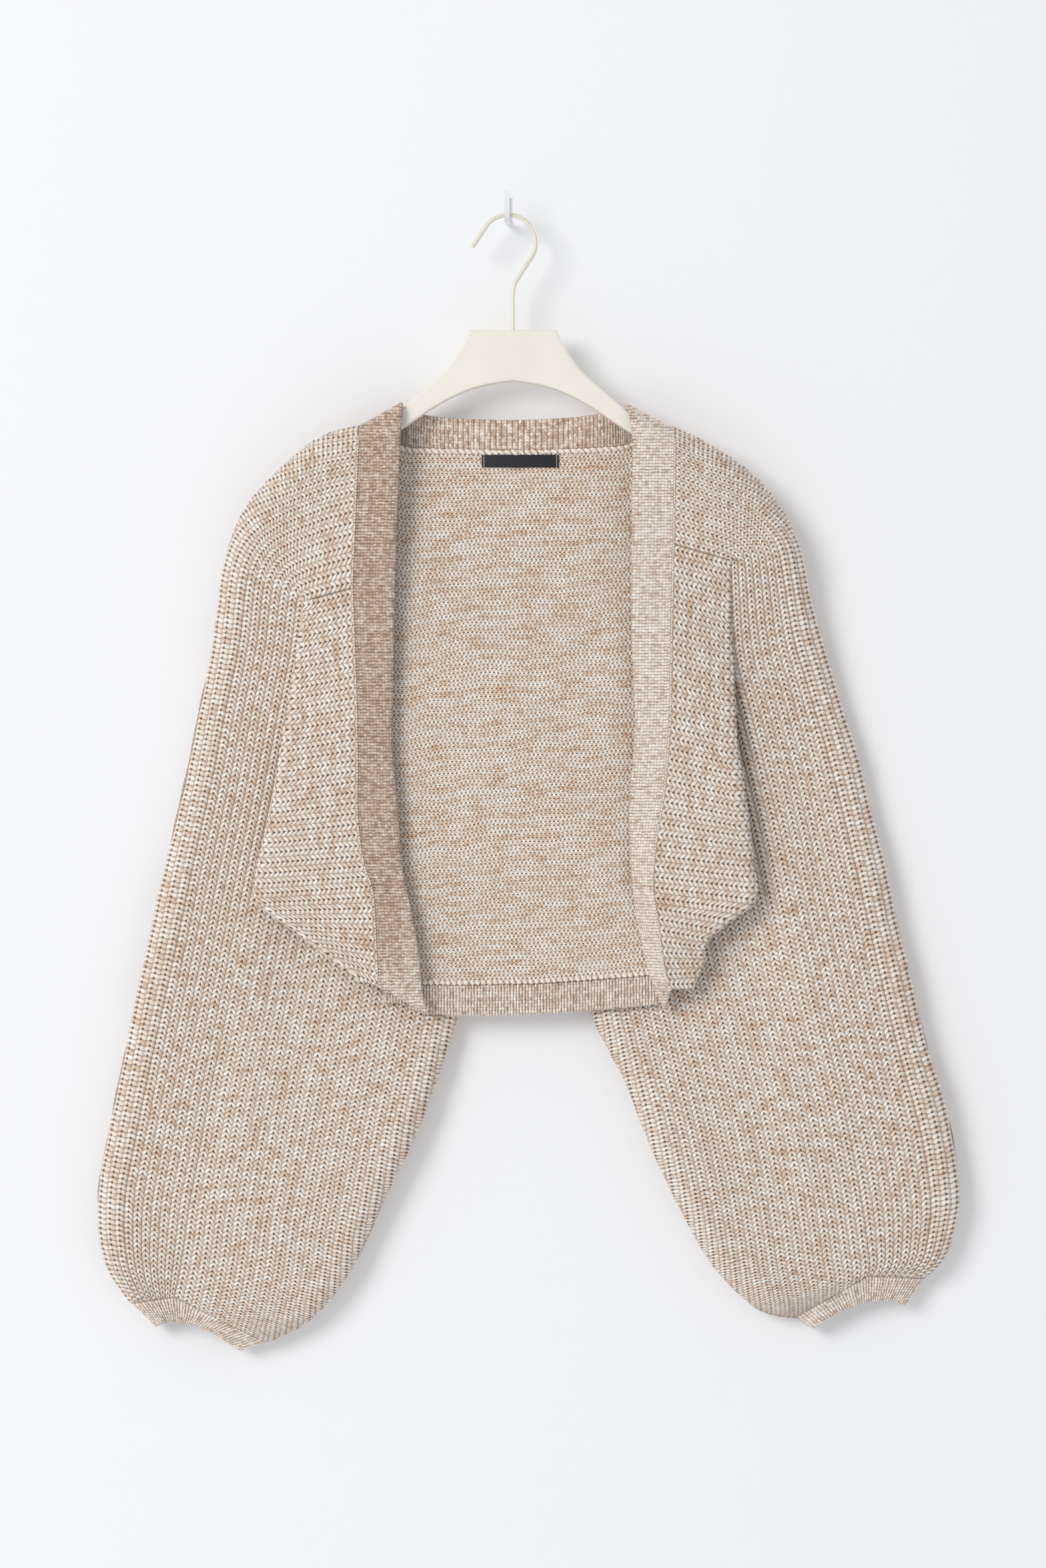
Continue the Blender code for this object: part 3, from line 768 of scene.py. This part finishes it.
def band_surface(side):
    """A front band: d runs down it, c from its linked edge to its free edge."""
    upper = upper_surface(side, True)
    flap = flap_surface(side)
    shares = np.linspace(0, 1, 40)
    seam = np.concatenate([upper(0 * shares, shares), flap(10 * shares[1:], 0 * shares[1:])])
    fall = (seam[0, 2] - seam[:, 2]) / (seam[0, 2] - seam[-1, 2])
    inner = np.array(BAND_INNER[side], float)
    inward = 1 if side == "left" else -1
    rise, sink = inner[0, 1] - seam[0, 2], inner[-1, 1] - seam[-1, 2]

    def place(d, c):
        x, y, z = (np.interp(d, fall, seam[:, k]) for k in range(3))
        # the ribs lie level except near the shoulder and the hem
        near_top, near_hem = (np.clip(part, 0, 1) ** 1.6 for part in (1 - d / 0.12, (d - 0.84) / 0.16))
        target = z + rise * near_top + sink * near_hem
        ix, iz, iy = columns_at(BAND_INNER[side], np.interp(-target, -inner[:, 1], np.arange(len(inner))))
        # the band leans back from its seam, and its free edge rolls a little
        back = 5.0 * c**1.5 * np.sin(math.pi * np.clip(d, 0.02, 0.98)) ** 0.5
        roll = np.clip((c - 0.86) / 0.14, 0, 1) ** 2
        # its linked edge laps a little over the cloth
        lap = 0.35 + 0.9 * np.clip(1 - c / 0.06, 0, 1)
        return points(mix(x - inward * 0.5, ix, c), mix(y, iy, c) + back + roll - lap, mix(z, iz, c))

    return place


def neck_surface(c, d):
    """The neck band: c runs across, d from its top edge to its seam."""
    x, top_z, top_y, seam_z, seam_y = columns_at(NECK_BAND, c * (len(NECK_BAND) - 1))
    top_z = top_z - 6 * np.clip((np.abs(x - 7) - 88) / 12, 0, 1)
    return points(x, mix(top_y, seam_y, d), mix(top_z, seam_z + 3.3, d))


def hem_surface(c, d):
    """The hem band: c runs across, d from its seam to its lower edge."""
    x = mix(*HEM_BAND_ENDS, c)
    _, left_z, _, _, right_z, _, y = BACK_LOW[-1]
    across = (x - SEAM_X["left"]) / (SEAM_X["right"] - SEAM_X["left"])
    # behind the front bands its corners are shorter
    short = 0.35 * np.clip((-62 - x) / 20, 0, 1) + 0.3 * np.clip((x - 112) / 10, 0, 1)
    height = np.interp(x, (-90, 0, 118), (22.0, 23.5, 22.5)) * (1 - short)
    return points(x, y + 0 * d, mix(left_z, right_z, across) - hem_sag(x) - 0.3 - height * d)


def cuff_surface(side, front):
    """Half of a cuff: c runs across from the outer edge, d from the linked edge to the open one."""
    upper = upper_surface(side, front)
    under = underarm_surface(side, front)
    shares = np.linspace(0, 1, 60)
    last = 0 * shares
    linked = [upper(SLEEVE_END + last, shares), under(SLEEVE_END - UNDERARM + last[1:], shares[1:])]
    linked = np.concatenate(linked)
    part = (linked[:, 0] - linked[0, 0]) / (linked[-1, 0] - linked[0, 0])
    ox, oz, mx, mz, ix, iz, front_y, edge_y, rear_y = CUFF_END[side]
    bend_x, bend_z = 2 * mx - (ox + ix) / 2, 2 * mz - (oz + iz) / 2
    width = math.hypot(ix - ox, iz - oz)
    full_y = front_y if front else rear_y

    def place(c, d):
        x, y, z = (np.interp(c, part, linked[:, k]) for k in range(3))
        first, second, third = (1 - c) ** 2, 2 * c * (1 - c), c**2
        end_x = first * ox + second * bend_x + third * ix
        end_z = first * oz + second * bend_z + third * iz
        end_y = mix(edge_y + (-0.3 if front else 0.3), full_y, roundness(np.minimum(c, 1 - c) * width, 9))
        near = 0.03 + 0.97 * d
        return points(mix(x, end_x, near), mix(y, end_y, near), mix(z, end_z, near))

    return place


def ribbing_patch(place, length, width, out, level=False):
    """A stretch of 1x1 ribbing, with its ribs across its length, or level where that is set."""
    ribs = round(length / BAND_RIB)
    down = np.linspace(0, 1, ribs * 4 + 1)
    over = np.linspace(0, 1, round(width / 1.1) + 1)
    wale = np.linspace(0, ribs, len(down))[:, None] + 0 * over
    patch = Patch(place, down, over, out, wale, wall=BAND_WALL, stitch=BAND_STITCH)
    if level:
        heights = patch.spots[:, :, 2]
        patch.wale = (heights.max() - heights) / BAND_RIB
    return patch


def rib_relief(u, v):
    """Round ribs with a faint bump for each stitch."""
    return 0.62 * crest(u) + 0.1 * np.abs(np.sin(math.pi * v))


# ---- Materials ------------------------------------------------------------------------------------


def linear(code):
    """An sRGB hex colour as linear RGBA."""
    values = [int(code[k : k + 2], 16) / 255 for k in (1, 3, 5)]
    return (*(v / 12.92 if v <= 0.04045 else ((v + 0.055) / 1.055) ** 2.4 for v in values), 1.0)


def new_material(name):
    """A material, its node tree and its main shader."""
    material = bpy.data.materials.new(name)
    material.use_nodes = True
    return material, material.node_tree, material.node_tree.nodes["Principled BSDF"]


def fill(tree, node, inputs):
    """Set a node's inputs, or link them, by name or in order."""
    for name, value in inputs.items() if isinstance(inputs, dict) else enumerate(inputs):
        if isinstance(value, bpy.types.Node):
            value = value.outputs[0]
        if isinstance(value, bpy.types.NodeSocket):
            tree.links.new(value, node.inputs[name])
        else:
            node.inputs[name].default_value = value


def add(tree, kind, inputs=(), **settings):
    """A shader node of this kind, with its settings and inputs."""
    made = tree.nodes.new("ShaderNode" + kind)
    for name, value in settings.items():
        setattr(made, name, value)
    fill(tree, made, inputs)
    return made


def set_ramp(node, stops):
    """Colour stops of a ramp: place and hex colour."""
    ramp = node.color_ramp
    while len(ramp.elements) > 1:
        ramp.elements.remove(ramp.elements[-1])
    ramp.elements[0].position = stops[0][0]
    ramp.elements[0].color = linear(stops[0][1])
    for place, code in stops[1:]:
        ramp.elements.new(place).color = linear(code)
    return node


def knit_axes(tree):
    """The wale and stitch counts of the knit UV map."""
    split = add(tree, "SeparateXYZ", (add(tree, "UVMap", uv_map="knit"),))
    return split.outputs[0], split.outputs[1]


def off_middle(tree, u):
    """How far a point lies from the middle of its wale: with the side as its sign, and without."""
    in_wale = add(tree, "Math", (u,), operation="FRACT")
    off = add(tree, "Math", (in_wale, 0.5), operation="SUBTRACT")
    return off, add(tree, "Math", (off,), operation="ABSOLUTE")


def plait_form(tree, u, v, slant):
    """Height of slanted stitch legs, which also sets their painted shade, with the leg's own number as a
    vector.
    """
    off, s = off_middle(tree, u)
    shifted = add(tree, "Math", (s, slant, v), operation="MULTIPLY_ADD")
    from_leg = add(tree, "Math", (s, LEG_MIDDLE), operation="SUBTRACT")
    side = add(tree, "Math", (from_leg, LEG_HALF), operation="DIVIDE")
    side = add(tree, "Math", (side, side), operation="MULTIPLY")
    across = add(tree, "Math", (1.0, side), operation="SUBTRACT")
    across = add(tree, "Math", (across, 0.0), operation="MAXIMUM")
    across = add(tree, "Math", (across,), operation="SQRT")
    in_leg = add(tree, "Math", (shifted,), operation="FRACT")
    from_middle = add(tree, "Math", (in_leg, 2.0, -1.0), operation="MULTIPLY_ADD")
    from_middle = add(tree, "Math", (from_middle,), operation="ABSOLUTE")
    along = add(tree, "Math", (from_middle, 2.5), operation="POWER")
    along = add(tree, "Math", (along, -0.7, 1.0), operation="MULTIPLY_ADD")
    form = add(tree, "Math", (across, along), operation="MULTIPLY")
    # the hole in the middle of each V: a dip in the height, and painted shade in the colour
    near = add(tree, "MapRange", (s, 0.15, 0.05, 0.0, 1.0), interpolation_type="SMOOTHSTEP")
    end = add(tree, "MapRange", (from_middle, 0.35, 0.75, 0.0, 1.0), interpolation_type="SMOOTHSTEP")
    hole = add(tree, "Math", (near, end), operation="MULTIPLY")
    hole = add(tree, "Math", (hole, -0.95, 1.0), operation="MULTIPLY_ADD")
    form = add(tree, "Math", (form, hole), operation="MULTIPLY")
    wale = add(tree, "Math", (u,), operation="FLOOR")
    stitch = add(tree, "Math", (shifted,), operation="FLOOR")
    leg = add(tree, "Math", (off, 0.0), operation="GREATER_THAN")
    return form, add(tree, "CombineXYZ", (wale, stitch, leg))


def yarn_tone(tree, u, v, number, across=0.5, along=0.8, cloud=0.75, apart=0.14):
    """Heather tone, 0 to 1, from soft patches of colour, flecks of fibre and each stitch's own shade."""
    lay = add(tree, "CombineXYZ", (u, v, 0.0))
    lay = add(tree, "VectorMath", (lay, (across, along, 0.0)), operation="MULTIPLY")
    marl = add(tree, "TexNoise", {"Vector": lay, "Scale": 0.85, "Detail": 3.0, "Roughness": 0.6})
    spot = add(tree, "TexCoord").outputs["Object"]
    # fibres of the marled yarn show as flecks about 1 mm across
    fibre = add(tree, "TexNoise", {"Vector": spot, "Scale": 1000.0, "Detail": 2.0, "Roughness": 0.65})
    chance = add(tree, "TexWhiteNoise", (number,), noise_dimensions="3D").outputs["Value"]
    tone = 0.5
    for value, share in ((marl, cloud), (fibre, 0.62), (chance, apart)):
        middle = add(tree, "Math", (value, 0.5), operation="SUBTRACT")
        tone = add(tree, "Math", (middle, share, tone), operation="MULTIPLY_ADD")
    return tone, fibre


def finish_wool(tree, shader, tone, stops, form, gap, fibre, depth):
    """Heather colour with painted shade in the gaps, a raised form, and the soft sheen of brushed wool."""
    yarn = set_ramp(add(tree, "ValToRGB", (tone,)), stops)
    # painted shade: the colour is darkened where the form is low, in the gaps between legs and in the holes
    shade = set_ramp(add(tree, "ValToRGB", (form,)), gap)
    colour = add(tree, "Mix", {0: 1.0, 6: yarn, 7: shade}, data_type="RGBA", blend_type="MULTIPLY")
    total = add(tree, "Math", (fibre, 0.3, form), operation="MULTIPLY_ADD")
    bump = add(tree, "Bump", {"Height": total, "Strength": 0.85, "Distance": depth * MM})
    fill(tree, shader, {
        "Base Color": colour.outputs[2],
        "Normal": bump,
        "Roughness": 0.95,
        "Specular IOR Level": 0.2,
        "Sheen Weight": 0.2,
        "Sheen Roughness": 0.6,
    })


def brushed_wool_blend_knit():
    """Brushed wool blend, 3 mm heather yarn in open V stitches: soft, matt, with painted shade between the
    legs.
    """
    material, tree, shader = new_material("brushed_wool_blend_knit")
    u, v = knit_axes(tree)
    # the columns along a fashioned edge lie flatter, as short bars
    split = add(tree, "SeparateXYZ", (add(tree, "UVMap", uv_map="edge"),))
    slant = add(tree, "MapRange", (split.outputs[0], 2.8, 4.2, -0.45, LEG_SLANT))
    form, number = plait_form(tree, u, v, slant)
    tone, fibre = yarn_tone(tree, u, v, number)
    finish_wool(tree, shader, tone, HEATHER, form, PAINTED_LEG_GAP_SHADE, fibre, 0.9)
    return material


def reverse_wool_blend_knit():
    """The same cloth's reverse: on each wale a thin pale chain with a hole in each loop, painted dark
    as shade, and two rows of small mixed purl bumps between, with painted shade in their lows."""
    material, tree, shader = new_material("reverse_wool_blend_knit")
    u, v = knit_axes(tree)
    _, off = off_middle(tree, u)
    # each wale is three rows wide: bumps, the chain, bumps half a stitch further on
    on_chain = add(tree, "Math", (off, 1 / 6), operation="LESS_THAN")
    stepped = add(tree, "Math", (on_chain, 0.5, v), operation="MULTIPLY_ADD")
    third = add(tree, "Math", (u, 3.0), operation="MULTIPLY")
    form, number = plait_form(tree, third, stepped, -0.9)
    tone, fibre = yarn_tone(tree, u, v, number, 1.1, 0.16, 0.6, 0.24)
    # painted shade in a hole about 1 mm across in the middle of each loop of the chain, and in smaller ones
    # in the bumps
    hole_x = add(tree, "Math", (third,), operation="FRACT")
    hole_x = add(tree, "Math", (hole_x, BODY_WALE / 3, -BODY_WALE / 6), operation="MULTIPLY_ADD")
    hole_y = add(tree, "Math", (stepped, 0.5), operation="ADD")
    hole_y = add(tree, "Math", (hole_y,), operation="FRACT")
    hole_y = add(tree, "Math", (hole_y, REVERSE_STITCH, -REVERSE_STITCH / 2), operation="MULTIPLY_ADD")
    place = add(tree, "CombineXYZ", (hole_x, hole_y, 0.0))
    away = add(tree, "VectorMath", (place,), operation="LENGTH").outputs["Value"]
    size = add(tree, "Math", (on_chain, 0.25, 0.7), operation="MULTIPLY_ADD")
    hole = add(tree, "MapRange", (away, size, 0.3, 0.0, 1.0), interpolation_type="SMOOTHSTEP")
    hole_shade_depth = add(tree, "Math", (on_chain, -0.3, -0.65), operation="MULTIPLY_ADD")
    kept = add(tree, "Math", (hole, hole_shade_depth, 1.0), operation="MULTIPLY_ADD")
    tone = add(tree, "Math", (on_chain, 0.07, tone), operation="MULTIPLY_ADD")
    # the bumps' lows and the holes are painted as shade through the gap ramp
    bumps = add(tree, "Math", (form, 0.88, 0.08), operation="MULTIPLY_ADD")
    strands = add(tree, "Math", (on_chain, 0.18, bumps), operation="MULTIPLY_ADD")
    pierced_painted_shade = add(tree, "Math", (strands, kept), operation="MULTIPLY")
    finish_wool(tree, shader, tone, INSIDE_HEATHER, pierced_painted_shade, PAINTED_LEG_GAP_SHADE, fibre, 0.8)
    return material


def ribbed_wool_blend_band():
    """Tight 1x1 ribbing in the same yarn, finer and a little browner than the open knit."""
    material, tree, shader = new_material("ribbed_wool_blend_band")
    u, v = knit_axes(tree)
    form, number = plait_form(tree, u, v, -0.7)
    tone, fibre = yarn_tone(tree, u, v, number, 0.4, 0.6, 0.5, 0.32)
    # painted light and shade by place: the left front band is painted darker, as if turned from the light,
    # and the right one lighter, as if lit; the hem and the cuffs are made lighter
    x, _, z = add(tree, "SeparateXYZ", (add(tree, "TexCoord").outputs["Object"],)).outputs
    right = add(tree, "MapRange", (x, 0.088, 0.1, 0.0, 0.13))
    left = add(tree, "MapRange", (x, -0.08, -0.072, -0.085, 0.0))
    above_hem = add(tree, "MapRange", (z, -0.585, -0.575, 0.0, 1.0))
    fronts = add(tree, "Math", (left, right), operation="ADD")
    fronts = add(tree, "Math", (fronts, above_hem), operation="MULTIPLY")
    hem = add(tree, "MapRange", (z, -0.575, -0.55, 0.06, 0.0))
    cuffs = add(tree, "MapRange", (z, -0.74, -0.72, 0.05, 0.0))
    for part in (fronts, hem, cuffs):
        tone = add(tree, "Math", (tone, part), operation="ADD")
    # painted shade in the gaps between the ribs, through BAND_GAP_SHADE
    _, off = off_middle(tree, u)
    ridge_shade_mask = add(tree, "MapRange", (off, 0.5, 0.22, 0.0, 0.5), interpolation_type="SMOOTHSTEP")
    both = add(tree, "Math", (form, 0.5, ridge_shade_mask), operation="MULTIPLY_ADD")
    finish_wool(tree, shader, tone, BAND_HEATHER, both, BAND_GAP_SHADE, fibre, 0.5)
    return material


def linking_yarn():
    """The pale chain of yarn that links a band to the cloth."""
    material, tree, shader = new_material("linking_wool_yarn")
    spot = add(tree, "TexCoord").outputs["Object"]
    fibre = add(tree, "TexNoise", {"Vector": spot, "Scale": 900.0, "Detail": 2.0})
    tone = add(tree, "Math", (fibre, 0.9, 0.08), operation="MULTIPLY_ADD")
    form = add(tree, "Math", (fibre, 0.5, 0.6), operation="MULTIPLY_ADD")
    finish_wool(tree, shader, tone, HEATHER, form, PAINTED_LEG_GAP_SHADE, fibre, 0.2)
    return material


def black_woven_label():
    """Black damask polyester, woven about 0.35 mm to the thread: satin, with a faint weave."""
    material, tree, shader = new_material("black_woven_label")
    spot = add(tree, "TexCoord").outputs["Object"]
    waves = {"Vector": spot, "Scale": 450.0, "Distortion": 0.4}
    weft, warp = (add(tree, "TexWave", waves, bands_direction=way).outputs["Fac"] for way in "ZX")
    weave = add(tree, "Math", (weft, warp), operation="MULTIPLY")
    colour = set_ramp(add(tree, "ValToRGB", (weave,)), ((0.0, "#1B1B20"), (1.0, "#2B2B32")))
    bump = add(tree, "Bump", {"Height": weave, "Strength": 0.5, "Distance": 0.1 * MM})
    fill(tree, shader, {"Base Color": colour, "Normal": bump, "Roughness": 0.6, "Specular IOR Level": 0.35})
    return material


def white_sewing_thread():
    """Spun polyester thread, 0.4 mm thick: white, slightly fuzzy."""
    material, tree, shader = new_material("white_sewing_thread")
    spot = add(tree, "TexCoord").outputs["Object"]
    ply = add(tree, "TexWave", {"Vector": spot, "Scale": 500.0}, bands_direction="DIAGONAL").outputs["Fac"]
    colour = set_ramp(add(tree, "ValToRGB", (ply,)), ((0.0, "#CFCBC4"), (1.0, "#F1EFEA")))
    fill(tree, shader, {"Base Color": colour, "Roughness": 0.8})
    return material


def painted_finish(name, codes, roughness, specular, grain, depth):
    """A painted or moulded surface: two close tones and a fine grain this many times a metre."""
    material, tree, shader = new_material(name)
    spot = add(tree, "TexCoord").outputs["Object"]
    cloud = add(tree, "TexNoise", {"Vector": spot, "Scale": 25.0, "Detail": 3.0})
    colour = set_ramp(add(tree, "ValToRGB", (cloud,)), ((0.35, codes[0]), (0.65, codes[1])))
    fine = add(tree, "TexNoise", {"Vector": spot, "Scale": grain, "Detail": 2.0})
    bump = add(tree, "Bump", {"Height": fine, "Strength": 0.3, "Distance": depth * MM})
    uneven = add(tree, "MapRange", (fine, 0.3, 0.7, roughness - 0.06, roughness + 0.06))
    looks = {"Base Color": colour, "Normal": bump, "Roughness": uneven, "Specular IOR Level": specular}
    fill(tree, shader, looks)
    return material


def heather(*codes):
    """The yarn's colours from its darkest tone to its palest."""
    return tuple(zip((0.28, 0.40, 0.50, 0.60, 0.72), codes))


HEATHER = heather("#C9A88F", "#DFC9B6", "#E8DBCF", "#F0E8E0", "#F8F5F1")
INSIDE_HEATHER = heather("#CCA78B", "#E2CAB4", "#EDDCCC", "#F3E9DF", "#F8F2EC")
BAND_HEATHER = heather("#AC9381", "#C8B1A0", "#D8C6B8", "#E8DBD0", "#F8F2EB")
# Painted shade: the colour is multiplied by these, from the deepest gap to the top of a leg
PAINTED_LEG_GAP_SHADE = ((0.0, "#6E635B"), (0.35, "#BFB5AD"), (0.8, "#FFFEFC"))
BAND_GAP_SHADE = ((0.0, "#978B82"), (0.45, "#D6CEC7"), (0.9, "#FFFEFC"))

body_wool = brushed_wool_blend_knit()
inside_wool = reverse_wool_blend_knit()
rib_wool = ribbed_wool_blend_band()
chain_wool = linking_yarn()
label_cloth = black_woven_label()
thread = white_sewing_thread()
# matt off-white moulded plastic with a rubbery feel
moulded = painted_finish("matt_moulded_polypropylene", ("#E6E1D6", "#EAE6DC"), 0.55, 0.35, 1500.0, 0.02)
# cream powder coat on the hanger's 3.4 mm steel wire
wire_coat = painted_finish("cream_powder_coated_steel", ("#DAD5C6", "#E2DDCF"), 0.35, 0.5, 2500.0, 0.02)
# white gloss enamel on the wall hook
hook_enamel = painted_finish("white_enamelled_steel", ("#DCDEE0", "#E8EAEC"), 0.25, 0.5, 900.0, 0.02)


# ---- Building -------------------------------------------------------------------------------------


def seated(piece, slot, *nodes):
    """The piece rides on the one body and stands for these nodes, which it hides. Its slot is not used."""
    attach(piece, "root")
    if nodes:
        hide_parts(*nodes)
    return piece


def build_fronts():
    for side in ("left", "right"):
        patches = [panel_patch(side, True, 1.6, 5, 5), flap_patch(side, 5)]
        front = knit_piece(f"front_{side}_knit", patches, body_relief, 3, 1.0, body_wool)
        seated(front, "main_knit", f"front_{side}")


def build_back():
    inside = knit_piece("back_inside_knit", [inside_patch()], inside_relief, 6, 1.0, inside_wool)
    outside = knit_piece("back_outside_knit", back_patches(4, 110), body_relief, 6, 1.0, body_wool)
    patches = [panel_patch(side, False, 2.0, 4, 4) for side in ("left", "right")]
    rear = knit_piece("rear_sleeves_knit", patches, body_relief, 3, 1.0, body_wool)
    seated(inside, "main_knit", "back")
    seated(outside, "main_knit")
    seated(rear, "main_knit")


def build_ribbing():
    """The bands and cuffs; each band has the chain of yarn that links it to the cloth."""
    down = np.linspace(0.02, 0.985, 300)
    for side, length, area, cuff_width, cuff_depth, cuff_area in (
        ("left", 0.470, 0.0134, 0.230, 0.0130, 0.00295),
        ("right", 0.467, 0.0121, 0.220, 0.0180, 0.00316),
    ):
        place = band_surface(side)
        height = abs(BAND_INNER[side][-1][1] - BAND_INNER[side][0][1])
        patch = ribbing_patch(place, height, 31, (0, -1, 0), level=True)
        band = knit_piece(f"front_band_{side}_ribbing", [patch], rib_relief, 3, 0.7, rib_wool)
        seated(band, "ribbing", f"front_band_{side}")
        line = place(down, 0 * down) + np.array([0, -1.6, 0])
        line[:, 1] -= 0.7 * swell_of(line)
        chain = linking_chain(f"front_band_{side}_linking_chain", line, BAND_RIB, 2.3, 1.3, 25, 1)
        seated(chain, "ribbing")
        halves = [
            ribbing_patch(cuff_surface(side, front), 92, 21, (0, -1 if front else 1, 0))
            for front in (True, False)
        ]
        cuff = knit_piece(f"cuff_{side}_ribbing", halves, rib_relief, 2, 0.4, rib_wool)
        seated(cuff, "ribbing", f"cuff_{side}")
    across = np.linspace(0.03, 0.97, 80)
    for name, place, edge, length, width, area, pitch, loop, thick, turn, shift in (
        ("neck", neck_surface, 1, 216, 27, 0.00487, 5.0, 6.2, 3.1, 32, -2.0),
        ("hem", hem_surface, 0, 214, 22, 0.00471, 4.4, 4.4, 3.5, 50, 1.8),
    ):
        patch = ribbing_patch(place, length, width, (0, -1, 0))
        band = knit_piece(f"{name}_band_ribbing", [patch], rib_relief, 3, 0.3, rib_wool)
        seated(band, "ribbing", f"{name}_band")
        line = place(across, edge + 0 * across) + np.array([0, -3.1, shift])
        line[:, 1] -= swell_of(line)
        chain = seated(linking_chain(f"{name}_linking_chain", line, pitch, loop, thick, turn), "ribbing")


def add_loop(mesh, spot, tilt, half_size, detail):
    """A rounded loop of yarn or thread, tilted in the plane of the wall."""
    pose = Matrix.Translation(spot) @ Matrix.Rotation(tilt, 4, "Y") @ Matrix.Diagonal(half_size).to_4x4()
    bmesh.ops.create_icosphere(mesh, subdivisions=detail, radius=1, matrix=pose)


def linking_chain(name, line, pitch, length, thick, turn, detail=2):
    """A row of yarn loops along a line of points, each turned a little off it."""
    run = length_along(line)
    mesh = bmesh.new()
    for place in np.arange(pitch / 2, run[-1], pitch):
        spot = [float(np.interp(place + LOOSE.uniform(-0.3, 0.3), run, line[:, k])) for k in range(3)]
        ahead = [float(np.interp(place + 1, run, line[:, k])) for k in range(3)]
        tilt = math.atan2(spot[2] - ahead[2], ahead[0] - spot[0]) + math.radians(turn + LOOSE.uniform(-9, 9))
        size = length * LOOSE.uniform(0.9, 1.12), thick, thick * LOOSE.uniform(0.85, 1.15)
        add_loop(mesh, [v * MM for v in spot], tilt, [v * MM / 2 for v in size], detail)
    return mesh_object(name, mesh, chain_wool)


def build_label():
    """A folded woven label, stitched down at its two short ends. It is left bare."""
    low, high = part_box("neck_label")
    middle = [(a + b) / 2 for a, b in zip(low, high)]
    size = [b - a for a, b in zip(low, high)]
    mesh = bmesh.new()
    bmesh.ops.create_cube(mesh, size=1, matrix=Matrix.Translation(middle) @ Matrix.Diagonal(size).to_4x4())
    bmesh.ops.bevel(
        mesh, geom=mesh.edges[:], offset=0.22 * MM, affect="EDGES", segments=3, profile=0.5, material=-1
    )
    label = seated(mesh_object("woven_neck_label", mesh, label_cloth, 60), "woven_label", "neck_label")
    mesh = bmesh.new()
    for x in (low[0] + 1.6 * MM, high[0] - 1.6 * MM):
        for k in range(6):
            z = low[2] + size[2] * (k + 0.5) / 6
            add_loop(mesh, (x, low[1] - 0.1 * MM, z), math.radians(6), (0.24 * MM, 0.2 * MM, 0.68 * MM), 2)
    ends = seated(mesh_object("label_end_stitches", mesh, thread), "woven_label")


def repaint(node, material):
    """A finer finish for a part that is shown as it is."""
    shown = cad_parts[node]
    shown.data.materials.clear()
    shown.data.materials.append(material)


build_fronts()
build_back()
build_ribbing()
build_label()
repaint("hanger", moulded)
repaint("hanger_hook", wire_coat)
repaint("wall_hook", hook_enamel)


# ---- Wall, floor, light and camera ----------------------------------------------------------------


def white_paint(name, open_behind):
    """Matt white paint. On the wall it lets light and sight through from behind, for views of the back."""
    material, tree, shader = new_material(name)
    fill(tree, shader, {"Base Color": linear("#EEEFF1"), "Roughness": 0.9, "Specular IOR Level": 0.1})
    if open_behind:
        facing = add(tree, "NewGeometry").outputs["Backfacing"]
        shadow = add(tree, "LightPath").outputs["Is Shadow Ray"]
        open_way = add(tree, "Math", (facing, shadow), operation="MAXIMUM")
        clear = add(tree, "BsdfTransparent")
        both = add(tree, "MixShader", (open_way, shader, clear))
        fill(tree, tree.nodes["Material Output"], {"Surface": both})
    return material


def add_stage():
    """The wall behind the hook, and a floor far below."""
    for name, pose, material in (
        ("wall", Matrix.Translation((0, 0.0006, 0)) @ Matrix.Rotation(math.radians(90), 4, "X"),
         white_paint("matt_white_wall_paint", True)),
        ("floor", Matrix.Translation((0, -3.9, -1.9)), white_paint("matt_white_floor_paint", False)),
    ):
        mesh = bmesh.new()
        bmesh.ops.create_grid(mesh, x_segments=1, y_segments=1, size=4.0, matrix=pose)
        mesh_object(name, mesh, material)


def add_light(name, spot, target, size, power, colour):
    """A round soft light of this width in metres, aimed at the target."""
    data = bpy.data.lights.new(name, "AREA")
    data.shape = "DISK"
    data.size = size
    data.energy = power
    data.color = linear(colour)[:3]
    made = placed(name, data)
    made.location = spot
    made.rotation_euler = (Vector(target) - Vector(spot)).to_track_quat("-Z", "Y").to_euler()


CAMERA_DISTANCE = 3.0
FRAME_HEIGHT = 1.175  # metres of the garment's plane that fill the upright picture


def add_camera():
    """A long lens, level with the middle of the garment."""
    data = bpy.data.cameras.new("camera")
    data.sensor_fit = "AUTO"
    data.sensor_width = 36
    data.lens = 36 * CAMERA_DISTANCE / FRAME_HEIGHT
    made = placed("camera", data)
    made.location = (0.012, -0.03 - CAMERA_DISTANCE, -0.435)
    made.rotation_euler = (math.radians(90), 0, 0)
    bpy.context.scene.camera = made


def add_surroundings():
    """Even light from all round, and colours shown as they are."""
    world = bpy.data.worlds.new("studio")
    world.use_nodes = True
    fill(world.node_tree, world.node_tree.nodes["Background"], (linear("#F7F8FA"), 0.64))
    bpy.context.scene.world = world
    bpy.context.scene.view_settings.view_transform = "Standard"


add_stage()
add_camera()
add_surroundings()
add_light("key", (-3.1, -4.6, 1.3), (0, 0, -0.45), 2.6, 157, "#FFFDFA")
add_light("rear", (2.4, 4.4, 1.2), (0, 0, -0.45), 2.6, 110, "#FFFDFA")
